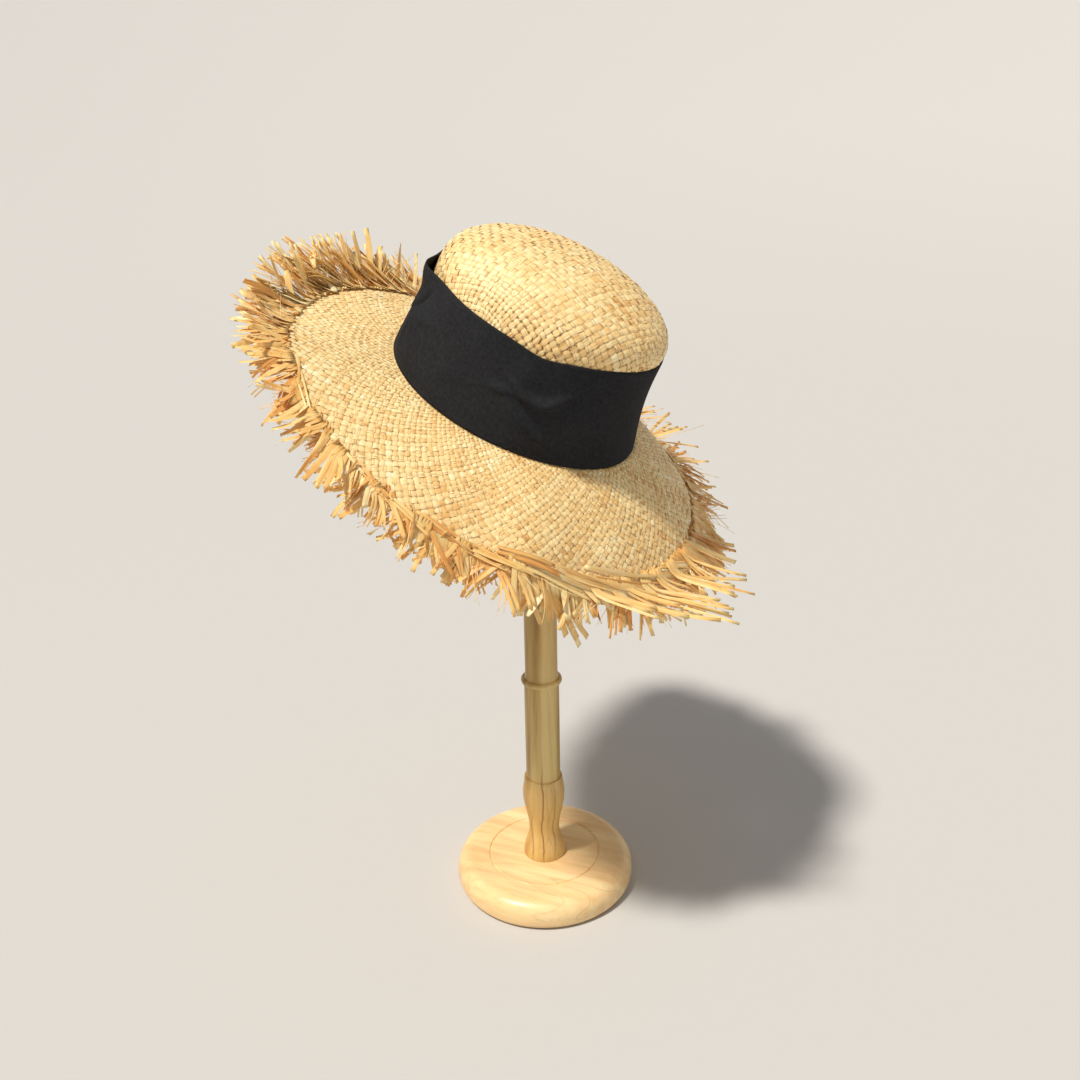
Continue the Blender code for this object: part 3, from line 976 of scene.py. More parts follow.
def loose_end(root, heading, normal, target, length, curl, twist, parts=8):
    """Return the points and normals of one loose end, from its strip's heading over to its own."""
    t = np.linspace(0, 1, parts + 1)
    ease = np.clip(t / SETTING_OFF, 0, 1)
    ease = (ease * ease * (3 - 2 * ease))[:, None]
    side = unit(np.cross(target, normal))
    bend = side * (curl[0] * t**1.6)[:, None] - normal * (curl[1] * t**1.6)[:, None]
    steps = unit(heading * (1 - ease) + target * ease + bend)
    moves = 0.5 * (steps[1:] + steps[:-1]) * length / parts
    points = root + np.concatenate([np.zeros((1, 3)), np.cumsum(moves, axis=0)])
    turn = twist * t**1.2
    normals = normal * np.cos(turn)[:, None] + np.cross(steps, normal) * np.sin(turn)[:, None]
    return points, unit(normals)


def within_reach(points):
    """Tell whether an end stays inside the CAD fringe's box, apart from a few millimetres."""
    placed = to_stand(points)
    return bool(np.all(placed > fringe_low - REACH) and np.all(placed < fringe_high + REACH))


def add_end(points, normals, half, shade, hollow=0.0):
    """Keep one end as a ribbon, with its fibres begun at a place of its own."""
    start = fray.uniform(0, 9)
    fringe_ribbons.append(ribbon(points, normals, half, END_THICKNESS, shade, start, hollow))


def grow(start, target, length, width, tone, curl=(0.0, 0.0), twist=0.0, taper=0.15, root_width=None):
    """Add one loose end from its start, a root, heading and normal, shortened until it stays in reach."""
    for _ in range(9):
        points, normals = loose_end(*start, target, length, curl, twist)
        if within_reach(points):
            break
        length *= 0.93
    t = np.linspace(0, 1, len(points))
    half = 0.5 * width * (1.0 - taper * t**3)
    if root_width is not None:
        half[0] = min(half[0], 0.5 * root_width)
    # the last term is painted shade: each end is darker near its root, where the ends crowd at the edge
    shade = tone + 0.06 * fray.standard_normal() * t - 0.12 * (1 - np.clip(t / 0.3, 0, 1))
    add_end(points, normals, half, shade)


def edge_droop(azimuth):
    """Return the brim's slope at its woven edge, in degrees."""
    return float(read_table(BRIM_ROWS, azimuth)[1]) * SLOPE_AT_EDGE


def pointing(azimuth, fall, yaw):
    """Return the direction that falls this far below level, outwards, turned along the edge by a yaw."""
    outward, sideways = direction(azimuth), direction(azimuth + 90.0)
    return (outward * math.cos(fall) - upward(math.sin(fall))) * math.cos(yaw) + sideways * math.sin(yaw)


# %% What the loose ends share: clumps, lighter and darker stretches, and layers
CLUMPS = 62
CLUMP_MIDDLE = 2.9
GATHER = 0.055
# azimuth, spread in degrees and amount of the lighter and the darker stretch
SUNLIT = (138.0, 38.0, 0.16)
SHADED = (228.0, 30.0, 0.10)
# tone of the first layer and of those over it, each with its chance
FIRST_TONE = (0.66, 0.12)
UPPER_TONE = (0.58, 0.14)
LAYER_RISE = 0.0007
LAYER_LIFT = 4.0
LAYER_BACK = 0.0035
SPLIT_CHANCE = 0.30
SPLIT_YAW = 22.0
clump_chance = fray.standard_normal((3, CLUMPS))
clump_places = np.linspace(0.0, 360.0, CLUMPS + 1)


def stretch_tone(azimuth, stretch):
    """Return how much a stretch of the edge changes the tone at an azimuth."""
    middle, spread, amount = stretch
    return amount * swell(turn_between(azimuth, middle), spread)


# %% Grow the loose ends from the woven strips
for strip, (rings, *_) in enumerate(brim_ribbons):
    hand = 1.0 if strip < BRIM_STRIPS else -1.0
    last = rings[-1].mean(axis=0)
    heading = unit(rings[-1].mean(axis=0) - rings[-2].mean(axis=0))
    width = np.linalg.norm(rings[-1, 2] - rings[-1, 0])
    across = unit(rings[-1, 2] - rings[-1, 0])
    normal = unit(rings[-1, 1] - rings[-1, 3])
    azimuth = math.degrees(math.atan2(last[1], last[0])) % 360.0
    droop = math.radians(edge_droop(azimuth))
    length_share, lift = (float(v) for v in read_table(FRINGE_ROWS, azimuth))
    slant, untidy, curl, blade, longer, more, lean = (float(v) for v in read_table(FRAY_ROWS, azimuth))
    clump = int(np.argmin(np.abs(clump_places[:-1] + CLUMP_MIDDLE - azimuth)))
    gather = -GATHER * untidy * turn_between(azimuth, clump_places[clump] + CLUMP_MIDDLE)
    sunlit = stretch_tone(azimuth, SUNLIT) - stretch_tone(azimuth, SHADED)
    for layer in range(int(1 + more + fray.uniform(0.0, 1.0))):
        if layer == 0:
            lock_yaw = hand * math.radians(slant)
            tone_middle, tone_chance = FIRST_TONE
        else:
            lock_yaw = math.radians(lean) + 0.35 * hand * math.radians(slant)
            tone_middle, tone_chance = UPPER_TONE
        lock_tone = tone_middle + sunlit + tone_chance * fray.standard_normal()
        lock_yaw += gather + 0.13 * untidy * fray.standard_normal() + 0.12 * untidy * clump_chance[0, clump]
        lock_lift = math.radians(lift - LAYER_LIFT * layer)
        lock_lift += 0.12 * untidy * (fray.standard_normal() + clump_chance[1, clump])
        lock_length = FRINGE_LENGTH * length_share * longer * (0.96 + 0.06 * fray.standard_normal())
        lock_length *= 1 + 0.05 * clump_chance[2, clump]
        lock_curl = (0.7 * curl * fray.standard_normal(), curl * abs(fray.standard_normal()))
        count = int(np.clip(round(width / blade + fray.uniform(-0.2, 0.8)), 1, 4))
        for part in range(count):
            offset = ((part + 0.5) / count - 0.5) * width
            inside = fray.uniform(0.001, 0.003) + LAYER_BACK * layer
            above = LAYER_RISE * layer + fray.uniform(0.0, 0.0003)
            root = last + across * offset - heading * inside + normal * above
            yaw = lock_yaw + 0.10 * untidy * fray.standard_normal()
            fall = droop - lock_lift + 0.09 * untidy * fray.standard_normal()
            bend = [chance + 0.2 * untidy * fray.standard_normal() for chance in lock_curl]
            length = lock_length * fray.uniform(0.90 - 0.26 * untidy, 1.06)
            wide = blade * fray.uniform(0.75, 1.25)
            tone = lock_tone + 0.09 * fray.standard_normal()
            twist = (0.45 + 0.4 * untidy) * fray.standard_normal()
            prongs = 2 if fray.uniform() < SPLIT_CHANCE else 1
            for prong in range(prongs):
                apart = (prong - 0.5 * (prongs - 1)) * wide / 2
                grow(
                    (root + across * apart, heading, normal),
                    pointing(azimuth, fall, yaw - apart * SPLIT_YAW),
                    length * fray.uniform(0.88, 1.0),
                    wide / prongs,
                    tone,
                    curl=bend,
                    twist=twist,
                    root_width=1.25 * width / count / prongs,
                )
print("ends", len(fringe_ribbons))

# %% [markdown]
# Some ends stand out from the rest in the photograph. At the front a wide, split leaf hangs down, with
# short blunt blades beside it. At the right long ends point away along the edge, and at the back right they
# stand in tufts. There are loops, most of them at the lower left. Each of these has its own row here.

# %% List the ends that stand out
# azimuth, yaw, fall below the brim's line, length, width, how many, their fan and tone; turns in degrees
LOCKS = (
    (291, 38, 36, 0.074, 0.0058, 4, 3, 0.72),
    (282, 26, 32, 0.050, 0.0044, 3, 5, 0.66),
    (281, 10, 34, 0.026, 0.0044, 3, 12, 0.62),
    (296, -6, 40, 0.026, 0.0056, 3, 10, 0.70),
    (302, 4, 42, 0.027, 0.0058, 3, 10, 0.64),
    (308, 0, 40, 0.026, 0.0054, 4, 12, 0.72),
    (314, 12, 36, 0.030, 0.0050, 4, 12, 0.62),
    (302, 56, -52, 0.062, 0.0022, 5, 8, 0.70),
    (308, 50, -62, 0.090, 0.0030, 4, 6, 0.74),
    (312, 46, -44, 0.056, 0.0020, 6, 14, 0.60),
    (318, 42, -56, 0.082, 0.0024, 6, 10, 0.70),
    (323, 34, -34, 0.056, 0.0020, 6, 16, 0.62),
    (329, 34, -50, 0.074, 0.0022, 6, 12, 0.72),
    (337, 20, -34, 0.060, 0.0022, 6, 16, 0.58),
    (350, -20, 0, 0.050, 0.0030, 5, 14, 0.60),
    (268, -14, 26, 0.034, 0.0040, 4, 14, 0.60),
    (258, -22, 34, 0.036, 0.0038, 4, 16, 0.62),
    (244, -30, 36, 0.034, 0.0036, 4, 18, 0.56),
    (232, 24, 30, 0.036, 0.0036, 4, 18, 0.58),
    (222, -26, 20, 0.036, 0.0034, 5, 18, 0.60),
    (204, -20, 8, 0.040, 0.0030, 5, 16, 0.58),
    (192, 14, 2, 0.044, 0.0030, 5, 16, 0.56),
    (60, 10, -30, 0.048, 0.0028, 6, 22, 0.56),
    (46, -12, -52, 0.054, 0.0028, 7, 24, 0.64),
    (36, 12, -56, 0.056, 0.0028, 7, 24, 0.68),
    (24, 10, -34, 0.052, 0.0028, 7, 22, 0.62),
    (10, 4, -26, 0.052, 0.0028, 7, 22, 0.62),
)
# azimuth, size of the loop, width of its two strands, how far its two feet are apart in degrees, tone
LOOPS = (
    (222, 0.022, 0.0034, 4.0, 0.52),
    (229, 0.034, 0.0038, 7.0, 0.60),
    (236, 0.024, 0.0032, -5.0, 0.50),
    (243, 0.030, 0.0034, 6.0, 0.58),
    (253, 0.024, 0.0034, -5.0, 0.54),
    (262, 0.022, 0.0036, 5.0, 0.56),
    (196, 0.026, 0.0030, 5.0, 0.52),
    (52, 0.026, 0.0030, 6.0, 0.50),
    (64, 0.022, 0.0028, -6.0, 0.54),
)


def edge_place(azimuth, out):
    """Return a point near the woven edge, the way outwards down the brim and the upward normal there."""
    middle, first, second = surface_frame(brim_surface, np.array([math.radians(azimuth), EDGE + out]))
    normal = unit(np.cross(second, first))
    return middle, unit(second), normal * np.sign(normal[2])


# %% Add the locks
# length round the woven edge, how closely a lock's ends lie, and how far above and outside it they start
EDGE_ROUND = 0.90
LOCK_PACKING = 0.55
LOCK_RISE = 0.0016
LOCK_ROOT_OUT = -0.003
for azimuth, yaw, fall, length, width, count, fan, tone in LOCKS:
    droop = edge_droop(azimuth)
    for part in range(count):
        share = (part + 0.5) / count - 0.5
        here = azimuth + 360.0 * share * count * LOCK_PACKING * width / EDGE_ROUND
        root, heading, normal = edge_place(here, LOCK_ROOT_OUT)
        down = math.radians(droop + fall + fray.normal(0, 6))
        along = math.radians(yaw + fan * share * 2 + fray.normal(0, 4))
        grow(
            (root + normal * LOCK_RISE, heading, normal),
            pointing(here, down, along),
            length * fray.uniform(0.72, 1.0),
            width * fray.uniform(0.8, 1.15),
            tone + fray.normal(0, 0.07),
            curl=(0.12 * fray.standard_normal(), 0.15 * fray.standard_normal()),
            twist=0.25 * fray.standard_normal(),
            taper=0.05,
        )

print("ends with the locks", len(fringe_ribbons))

# %% Add the loops, each of two strands
# fall below the brim's line in degrees, a strand's share of the row's width, and where the feet start
LOOP_FALL = 34.0
STRAND_SHARE = 0.62
LOOP_SWAY = 0.30
STRAND_APART = 0.0008
METRES_PER_DEGREE = 0.0022
ROOT_OUT = -0.002
for azimuth, size, width, apart, tone in LOOPS:
    root, _, normal = edge_place(azimuth, ROOT_OUT)
    fall = math.radians(edge_droop(azimuth) + LOOP_FALL)
    hang = pointing(azimuth, fall, math.radians(fray.uniform(-12, 12)))
    side = unit(direction(azimuth + 90.0) * 0.75 + normal * 0.65)
    t = np.linspace(0, 1, 17)
    for strand in (-1.0, 1.0):
        reach = size * fray.uniform(0.82, 1.05)
        loop = root + hang * (reach * np.sin(np.pi * t) ** 0.8)[:, None]
        sway = LOOP_SWAY * size * np.sin(2 * np.pi * t) + METRES_PER_DEGREE * apart * (t - 0.5)
        loop = loop + side * sway[:, None]
        loop = loop + normal * (STRAND_APART * strand)
        forward = unit(np.gradient(loop, axis=0))
        flat_way = unit(np.cross(forward, np.cross(hang, side)))
        turn = (0.5 * strand * np.sin(2.2 * np.pi * t) + 0.4 * fray.standard_normal())[:, None]
        normals = flat_way * np.cos(turn) + np.cross(forward, flat_way) * np.sin(turn)
        half = 0.5 * STRAND_SHARE * width * (1 + 0.15 * np.sin(5 * np.pi * t + 2 * strand))
        add_end(loop, normals, half, tone + 0.08 * strand)
print("ends with the loops", len(fringe_ribbons))

# %% [markdown]
# At the front some long ends don't hang. They lie along the edge in flat bundles that hide where the weave
# stops, and one of them is browner than the rest, with painted shade along its edges. A few hair-thin
# fibres stand up between the ends.

# %% Lay the bundles that run along the edge
# first azimuth, its spread and the run in degrees, how far outside the edge it starts and ends, rise,
# how many, width and tone
BUNDLES = (
    (277.0, 1.2, 16.0, -0.002, 0.002, 0.0028, 3, 0.0032, 0.18),
    (283.0, 5.0, 24.0, -0.003, 0.007, 0.0020, 12, 0.0030, 0.62),
    (294.0, 7.0, 24.0, -0.002, 0.012, 0.0020, 16, 0.0036, 0.68),
    (306.0, 8.0, 26.0, 0.000, 0.019, 0.0016, 16, 0.0034, 0.66),
    (320.0, 8.0, 18.0, 0.001, 0.022, 0.0014, 12, 0.0030, 0.62),
    (262.0, 9.0, 18.0, -0.002, 0.005, 0.0010, 8, 0.0024, 0.62),
    (242.0, 14.0, 13.0, -0.002, 0.003, 0.0008, 6, 0.0020, 0.64),
    (210.0, 8.0, 11.0, -0.003, 0.004, 0.0008, 3, 0.0019, 0.62),
)
# a bundle whose tone is below BROWN_BELOW also gets painted shade on its edges, this strong
BROWN_BELOW = 0.3
BROWN_PAINTED_SHADE = 0.75
BUNDLE_RISE = 0.0006
BUNDLE_SPREAD = 0.0022


def edge_run(azimuth, run, out_start, out_end, rise, parts=14):
    """Return the points and normals of an end that lies along the woven edge."""
    t = np.linspace(0, 1, parts + 1)
    out = EDGE + out_start + (out_end - out_start) * t**1.5
    place = np.stack([np.radians(azimuth + run * t), out], axis=-1)
    middle, first, second = surface_frame(brim_surface, place)
    normals = unit(np.cross(second, first))
    normals = normals * np.sign(normals[:, 2:])
    above = BUNDLE_RISE + rise * np.sin(np.pi * np.clip(t, 0.04, 1.0) * 0.8)
    return middle + normals * above[:, None], normals


for first_azimuth, spread, run, out_start, out_end, rise, count, wide, bundle_tone in BUNDLES:
    for _ in range(count):
        share = fray.uniform(0.70, 1.10)
        out_shift = out_start + BUNDLE_SPREAD * fray.standard_normal()
        points, normals = edge_run(
            first_azimuth + spread * fray.uniform(-1, 1),
            run * share,
            out_shift,
            out_shift + (out_end - out_start) * share * fray.uniform(0.6, 1.3),
            rise * fray.uniform(0.3, 1.2),
        )
        t = np.linspace(0, 1, len(points))
        rolled = 0.15 + 0.55 * fray.standard_normal() * (0.3 + t)
        normals = normals + np.cross(unit(np.gradient(points, axis=0)), normals) * rolled[:, None]
        half = 0.5 * wide * fray.uniform(0.6, 1.25) * (0.7 + 0.3 * np.sin(np.pi * np.clip(t * 1.3, 0, 0.5)))
        tone = bundle_tone + 0.17 * fray.standard_normal() + 0.06 * t
        # painted shade along the browner bundle's edges
        hollow = BROWN_PAINTED_SHADE if bundle_tone < BROWN_BELOW else 0.0
        add_end(points, unit(normals), half, tone, hollow)
print("ends with the bundles", len(fringe_ribbons))

# %% Add the hair-thin fibres and make the frayed edge
HAIR_COUNT = 180
HAIR_WIDTH = 0.0006
for _ in range(HAIR_COUNT):
    azimuth = fray.uniform(0, 360)
    droop = math.radians(edge_droop(azimuth))
    length_share, lift = (float(v) for v in read_table(FRINGE_ROWS, azimuth))
    target = pointing(azimuth, droop - math.radians(lift) + fray.normal(0.0, 0.28), fray.normal(0.0, 0.6))
    length = FRINGE_LENGTH * length_share * fray.uniform(0.5, 1.0)
    curl = (fray.normal(0, 0.45), fray.normal(0, 0.35))
    tone = fray.uniform(0.5, 0.95)
    grow(edge_place(azimuth, ROOT_OUT), target, length, HAIR_WIDTH, tone, curl=curl, taper=0.7)

fringe = ribbon_mesh("frayed_edge", fringe_ribbons, loose_raffia)
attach(fringe, "root")
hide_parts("fringe")

# %% [markdown]
# ## The cloth band
#
# The band is a long strip of black cloth, dressed here as cotton, laid round the crown's side. Its top edge
# stands off at the left, and small creases show under that corner and at the front. It is a fine sheet over
# the crown's side wall, lifted where the folds and creases are, with its wall added by Solidify.

# %% Lay the band
BAND_AROUND = 480
BAND_UP = 48
BAND_RADIUS = 0.088
THREAD_PITCH = 0.00040
# azimuth and spread in degrees, and how far the top edge dips there in metres
EDGE_DIPS = (
    (271.0, 9.0, 0.0030),
    (318.0, 18.0, -0.0020),
)


def band_lift(azimuth, share):
    """Return how far the band stands off the crown."""
    lift = 0.0
    for middle, spread, level, level_spread, amount in BAND_FOLDS:
        across = swell(turn_between(azimuth, middle), spread)
        lift = lift + amount * BAND_STANDOFF * across * swell(share - level, level_spread)
    return lift * np.minimum(share / 0.12, 1.0)


# azimuth, share of the height, length and width in metres, turn in degrees and height in metres of a crease
CREASES = (
    (191.0, 0.47, 0.012, 0.0018, 0.0, -0.0026),
    (195.0, 0.66, 0.018, 0.0016, 62.0, -0.0026),
    (198.0, 0.50, 0.018, 0.0017, -22.0, 0.0024),
    (199.0, 0.40, 0.020, 0.0018, -48.0, 0.0024),
    (203.0, 0.58, 0.018, 0.0020, 8.0, 0.0018),
    (193.0, 0.34, 0.016, 0.0018, -74.0, 0.0018),
    (268.0, 0.60, 0.016, 0.0020, -30.0, 0.0040),
    (276.0, 0.565, 0.014, 0.0020, 0.0, 0.0044),
    (283.0, 0.60, 0.014, 0.0020, 28.0, 0.0038),
    (258.0, 0.53, 0.014, 0.0017, 8.0, 0.0022),
    (270.0, 0.36, 0.024, 0.0028, -34.0, 0.0034),
    (268.0, 0.82, 0.020, 0.0060, 70.0, 0.0010),
    (312.0, 0.40, 0.024, 0.0050, -8.0, 0.0008),
    (230.0, 0.35, 0.030, 0.0050, 20.0, 0.0008),
    (70.0, 0.55, 0.030, 0.0050, 10.0, 0.0012),
    (120.0, 0.45, 0.026, 0.0045, -14.0, 0.0012),
    (20.0, 0.50, 0.026, 0.0050, 12.0, 0.0010),
)


def crease(azimuth, share):
    """Return the small creases' height over the band."""
    height = 0.0
    for middle, level, length, width, turn, amount in CREASES:
        round_way = np.radians(turn_between(azimuth, middle)) * BAND_RADIUS
        up_way = (share - level) * BAND_HEIGHT
        slope = math.radians(turn)
        along_way = round_way * math.cos(slope) + up_way * math.sin(slope)
        across_way = up_way * math.cos(slope) - round_way * math.sin(slope)
        height = height + amount * swell(along_way, length / 2) * swell(across_way, width)
    return height


def cotton(name):
    """Return matt black cotton with a fine plain weave."""
    made, shader, start = new_material(name, 0.90, Specular_IOR_Level=0.10)
    place = start.node("ShaderNodeUVMap", settings={"uv_map": "cloth"})
    warp = (place.part(0) * (math.pi / THREAD_PITCH)).sine()
    weft = (place.part(1) * (math.pi / THREAD_PITCH)).sine()
    threads = warp * weft
    here = start.node("ShaderNodeTexCoord", output=3)
    lint = noise(start, here, 420.0, 2.0)
    fade = noise(start, here, 26.0, 2.0)
    shade = (0.45 + threads * 0.12 + (lint - 0.5) * 0.7 + (fade - 0.5) * 0.4).clear(0.0, 1.0)
    connect(shader, "Base Color", mix(start, shade, linear(21, 21, 23), linear(54, 55, 59)))
    bump(start, shader, threads * 0.5 + lint, 0.00008)
    return made


black_cotton = cotton("black_cotton")
band_azimuth = np.linspace(0, 360, BAND_AROUND, endpoint=False)
band_share = np.linspace(0, 1, BAND_UP + 1)
grid_azimuth, grid_share = np.meshgrid(band_azimuth, band_share)
edge_dip = 0.0
for middle, spread, depth in EDGE_DIPS:
    edge_dip = edge_dip + depth * swell(turn_between(grid_azimuth, middle), spread)
band_height = BAND_HEIGHT * grid_share - edge_dip * grid_share**3
band_radius = wall_radius(grid_azimuth, band_height) + GAP / math.cos(SIDE_ANGLE)
stand_off = band_lift(grid_azimuth, grid_share) + crease(grid_azimuth, grid_share)
band_radius = band_radius + np.maximum(stand_off, 0.0)
band_points = direction(grid_azimuth) * band_radius[..., None] + upward(CROWN_FOOT + band_height)


def sheet_mesh(name, points, flat_places, material):
    """Make a closed sheet round the hat from rows of points, with a UV map in metres."""
    rows, columns = points.shape[:2]
    row = np.arange(rows - 1)[:, None] * columns
    column = np.arange(columns)[None, :]
    after = (column + 1) % columns
    faces = np.stack([row + column, row + after, row + columns + after, row + columns + column], axis=-1)
    faces = faces.reshape(-1, 4)
    places = flat_places.reshape(-1, 2)[faces]
    wrapped = np.abs(places[..., 0].max(axis=1) - places[..., 0].min(axis=1)) > 0.1
    places[wrapped, 1:3, 0] += flat_places[..., 0].max() + 4 * THREAD_PITCH
    made = add_object(name, quad_mesh(name, points.reshape(-1, 3), faces, "cloth", places))
    made.data.materials.append(material)
    return made


ring_length = np.linalg.norm(np.diff(band_points[BAND_UP // 2], axis=0), axis=1)
arc_length = np.concatenate([[0.0], np.cumsum(ring_length)])
band_flat = np.stack([np.broadcast_to(arc_length, grid_share.shape), grid_share * BAND_HEIGHT], axis=-1)
band = sheet_mesh("band", band_points, band_flat, black_cotton)
wall = band.modifiers.new("Cloth wall", "SOLIDIFY")
wall.thickness = BAND_WALL
wall.offset = 1.0
bpy.ops.object.select_all(action="DESELECT")
band.select_set(True)
bpy.context.view_layer.objects.active = band
bpy.ops.object.modifier_apply(modifier=wall.name)
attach(band, "root")
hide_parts("hat_band")

# %% [markdown]
# ## The stand
#
# The stand is turned from wood: a thick round foot with a shallow groove, a pole with a flare, a waist, a
# bulge, a step and a ring, and a plain knob inside the crown. A turned piece is made as on a lathe: a
# circle is added at the first section, and extruded and scaled from section to section.

# %% Turn a profile from a circle
TURNED_SHARP = math.radians(32)


def grow_rings(name, profile, sides, extrude, inside=False):
    """Make a mesh from a filled circle, extruded from one (radius, height) section to the next."""
    bpy.ops.object.select_all(action="DESELECT")
    radius, height = profile[0]
    low = (0, 0, height)
    bpy.ops.mesh.primitive_circle_add(vertices=sides, radius=radius, fill_type="NGON", location=low)
    made = bpy.context.object
    made.name = name
    made.data.name = name
    bpy.ops.object.mode_set(mode="EDIT")
    bpy.ops.mesh.select_mode(type="EDGE")
    bpy.ops.mesh.select_all(action="SELECT")
    if inside:
        bpy.ops.mesh.region_to_loop()
    for next_radius, next_height in profile[1:]:
        extrude(TRANSFORM_OT_translate={"value": (0, 0, next_height - height)})
        ratio = next_radius / radius
        bpy.ops.transform.resize(value=(ratio, ratio, 1), center_override=(0, 0, next_height))
        radius, height = next_radius, next_height
    bpy.ops.mesh.select_all(action="SELECT")
    bpy.ops.mesh.normals_make_consistent(inside=inside)
    bpy.ops.object.mode_set(mode="OBJECT")
    bpy.ops.object.transform_apply(location=True, rotation=True, scale=True)
    return made


def turned(name, profile, sides, material):
    """Make a turned piece from (radius, height) sections, from the bottom up."""
    made = grow_rings(name, profile, sides, bpy.ops.mesh.extrude_region_move)
    bpy.ops.object.shade_smooth_by_angle(angle=TURNED_SHARP)
    made.data.materials.append(material)
    print(name, len(made.data.polygons), "faces")
    return made


def eased(start, end, steps):
    """Return sections that ease from one to the next, without the first."""
    shares = [step / steps for step in range(1, steps + 1)]
    blends = [(1 - math.cos(math.pi * share)) / 2 for share in shares]
    radii = [start[0] + (end[0] - start[0]) * blend for blend in blends]
    heights = [start[1] + (end[1] - start[1]) * share for share in shares]
    return list(zip(radii, heights))


def arc(middle, radius, first, last, steps):
    """Return sections on an arc about a (radius, height) middle, with angles in degrees up from outward."""
    angles = [math.radians(first + (last - first) * step / steps) for step in range(steps + 1)]
    return [(middle[0] + radius * math.cos(a), middle[1] + radius * math.sin(a)) for a in angles]


# %% [markdown]
# The wood looks like a pale, straight-grained hardwood under satin lacquer. On the foot the grain runs
# across the disc, and on the pole it runs up. The pole's wood is browner, with dark wavy lines low on its
# front. Object coordinates are stretched along the grain, so that noise becomes long fibres, and short dark
# pores lie in the same direction.

# %% Two woods from one recipe
# heights between which the foot of the pole takes on the low tint, and how wide a dark line is
TINT_TOP = 0.112
TINT_FULL = 0.092
LINE_CORE = 0.0001
LINE_EDGE = 0.0011
VEIN = linear(146, 90, 42)


def wood(name, grain, slope, stops, roughness, figure_share, low_tint, lines=()):
    """Return lacquered wood with its grain along an axis given as a stretch of the three directions."""
    made, shader, start = new_material(name, roughness, Specular_IOR_Level=0.45)
    upright = start.node("ShaderNodeTexCoord", output=3)
    about_z = {"rotation_type": "Z_AXIS"}
    here = start.node("ShaderNodeVectorRotate", settings=about_z, Vector=upright, Angle=slope)

    def grained(scale, detail=2.0, rough=0.5):
        return noise(start, stretched(start, here, *[v * scale for v in grain]), 1.0, detail, rough)

    warped = noise(start, here, 9.0, 2.0)
    fibres = grained(170, 4.0, 0.62)
    pores = grained(700)
    figure = grained(16)
    bands = ((figure * 5.0 + warped * 0.6) * (2 * math.pi)).sine()
    veins = 1 - abs(bands).clear(0.0, 0.16)
    shade = (0.5 + (fibres - 0.5) * 1.4 + (grained(40) - 0.5) * 1.8 + bands * figure_share).clear(0.0, 1.0)
    colour = start.node("ShaderNodeValToRGB", settings={"stops": stops}, Fac=shade)
    dark = (veins * 0.22 * figure.clear(0.40, 0.56) + pores.clear(0.56, 0.70) * 0.10).clear(0.0, 1.0)
    height = upright.part(2)
    tinted = mix(start, height.clear(TINT_TOP, TINT_FULL) * 0.50, colour, low_tint)
    front = upright.part(1).clear(0.001, -0.004)
    waver = noise(start, stretched(start, upright, 1.0, 1.0, 26.0), 1.0, 3.0) - 0.5
    for place, sway, low, high, strength in lines:
        away = abs(upright.part(0) - place - waver * sway)
        ends = height.clear(low, low + 0.012) * height.clear(high, high - 0.03)
        dark = dark + (1 - away.clear(LINE_CORE, LINE_EDGE)) * front * ends * strength
    connect(shader, "Base Color", mix(start, dark.clear(0.0, 1.0), tinted, VEIN))
    connect(shader, "Roughness", roughness + (fibres - 0.5) * 0.16)
    bump(start, shader, fibres, 0.00005)
    return made


pale_wood = wood(
    "pale_wood",
    grain=(0.14, 1.0, 1.0),
    slope=math.radians(22.0),
    stops=((0.0, linear(206, 148, 90)), (0.5, linear(236, 194, 136)), (1.0, linear(250, 226, 174))),
    roughness=0.34,
    figure_share=0.16,
    low_tint=linear(244, 214, 160),
)

# place across the pole, sway, lowest and highest point in metres, and strength of the dark lines
POLE_LINES = (
    (-0.001, 0.010, 0.020, 0.125, 0.85),
    (-0.010, 0.008, 0.020, 0.080, 0.6),
    (0.009, 0.012, 0.024, 0.112, 0.5),
)
pole_wood = wood(
    "pole_wood",
    grain=(1.0, 1.0, 0.05),
    slope=0.0,
    stops=((0.0, linear(146, 112, 54)), (0.5, linear(194, 164, 98)), (1.0, linear(220, 196, 132))),
    roughness=0.36,
    figure_share=0.20,
    low_tint=linear(226, 178, 104),
    lines=POLE_LINES,
)

# %% The foot, with its rounded edges and its ring groove
FOOT_RADIUS = 0.077
FOOT_THICKNESS = 0.0235
FOOT_TOP_EDGE = 0.0130
FOOT_LOWER_EDGE = 0.0060
GROOVE_RADIUS = 0.048
GROOVE_WIDTH = 0.0024
GROOVE_DEPTH = 0.0012
GROOVE_STEPS = 6
GROOVE_LIP = 0.0005
FOOT_MIDDLE = 0.020

foot_profile = arc((FOOT_RADIUS - FOOT_LOWER_EDGE, FOOT_LOWER_EDGE), FOOT_LOWER_EDGE, -90, 0, 10)
foot_profile += arc((FOOT_RADIUS - FOOT_TOP_EDGE, FOOT_THICKNESS - FOOT_TOP_EDGE), FOOT_TOP_EDGE, 0, 90, 16)
foot_profile += [(GROOVE_RADIUS + GROOVE_WIDTH / 2 + GROOVE_LIP, FOOT_THICKNESS)]
for step in range(GROOVE_STEPS + 1):
    angle = math.pi * step / GROOVE_STEPS
    groove_radius = GROOVE_RADIUS + GROOVE_WIDTH / 2 * math.cos(angle)
    foot_profile.append((groove_radius, FOOT_THICKNESS - GROOVE_DEPTH * math.sin(angle)))
foot_profile += [(GROOVE_RADIUS - GROOVE_WIDTH / 2 - GROOVE_LIP, FOOT_THICKNESS)]
foot_profile += [(FOOT_MIDDLE, FOOT_THICKNESS)]
foot = turned("foot", foot_profile, 144, pale_wood)
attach(foot, "root")
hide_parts("stand_foot")

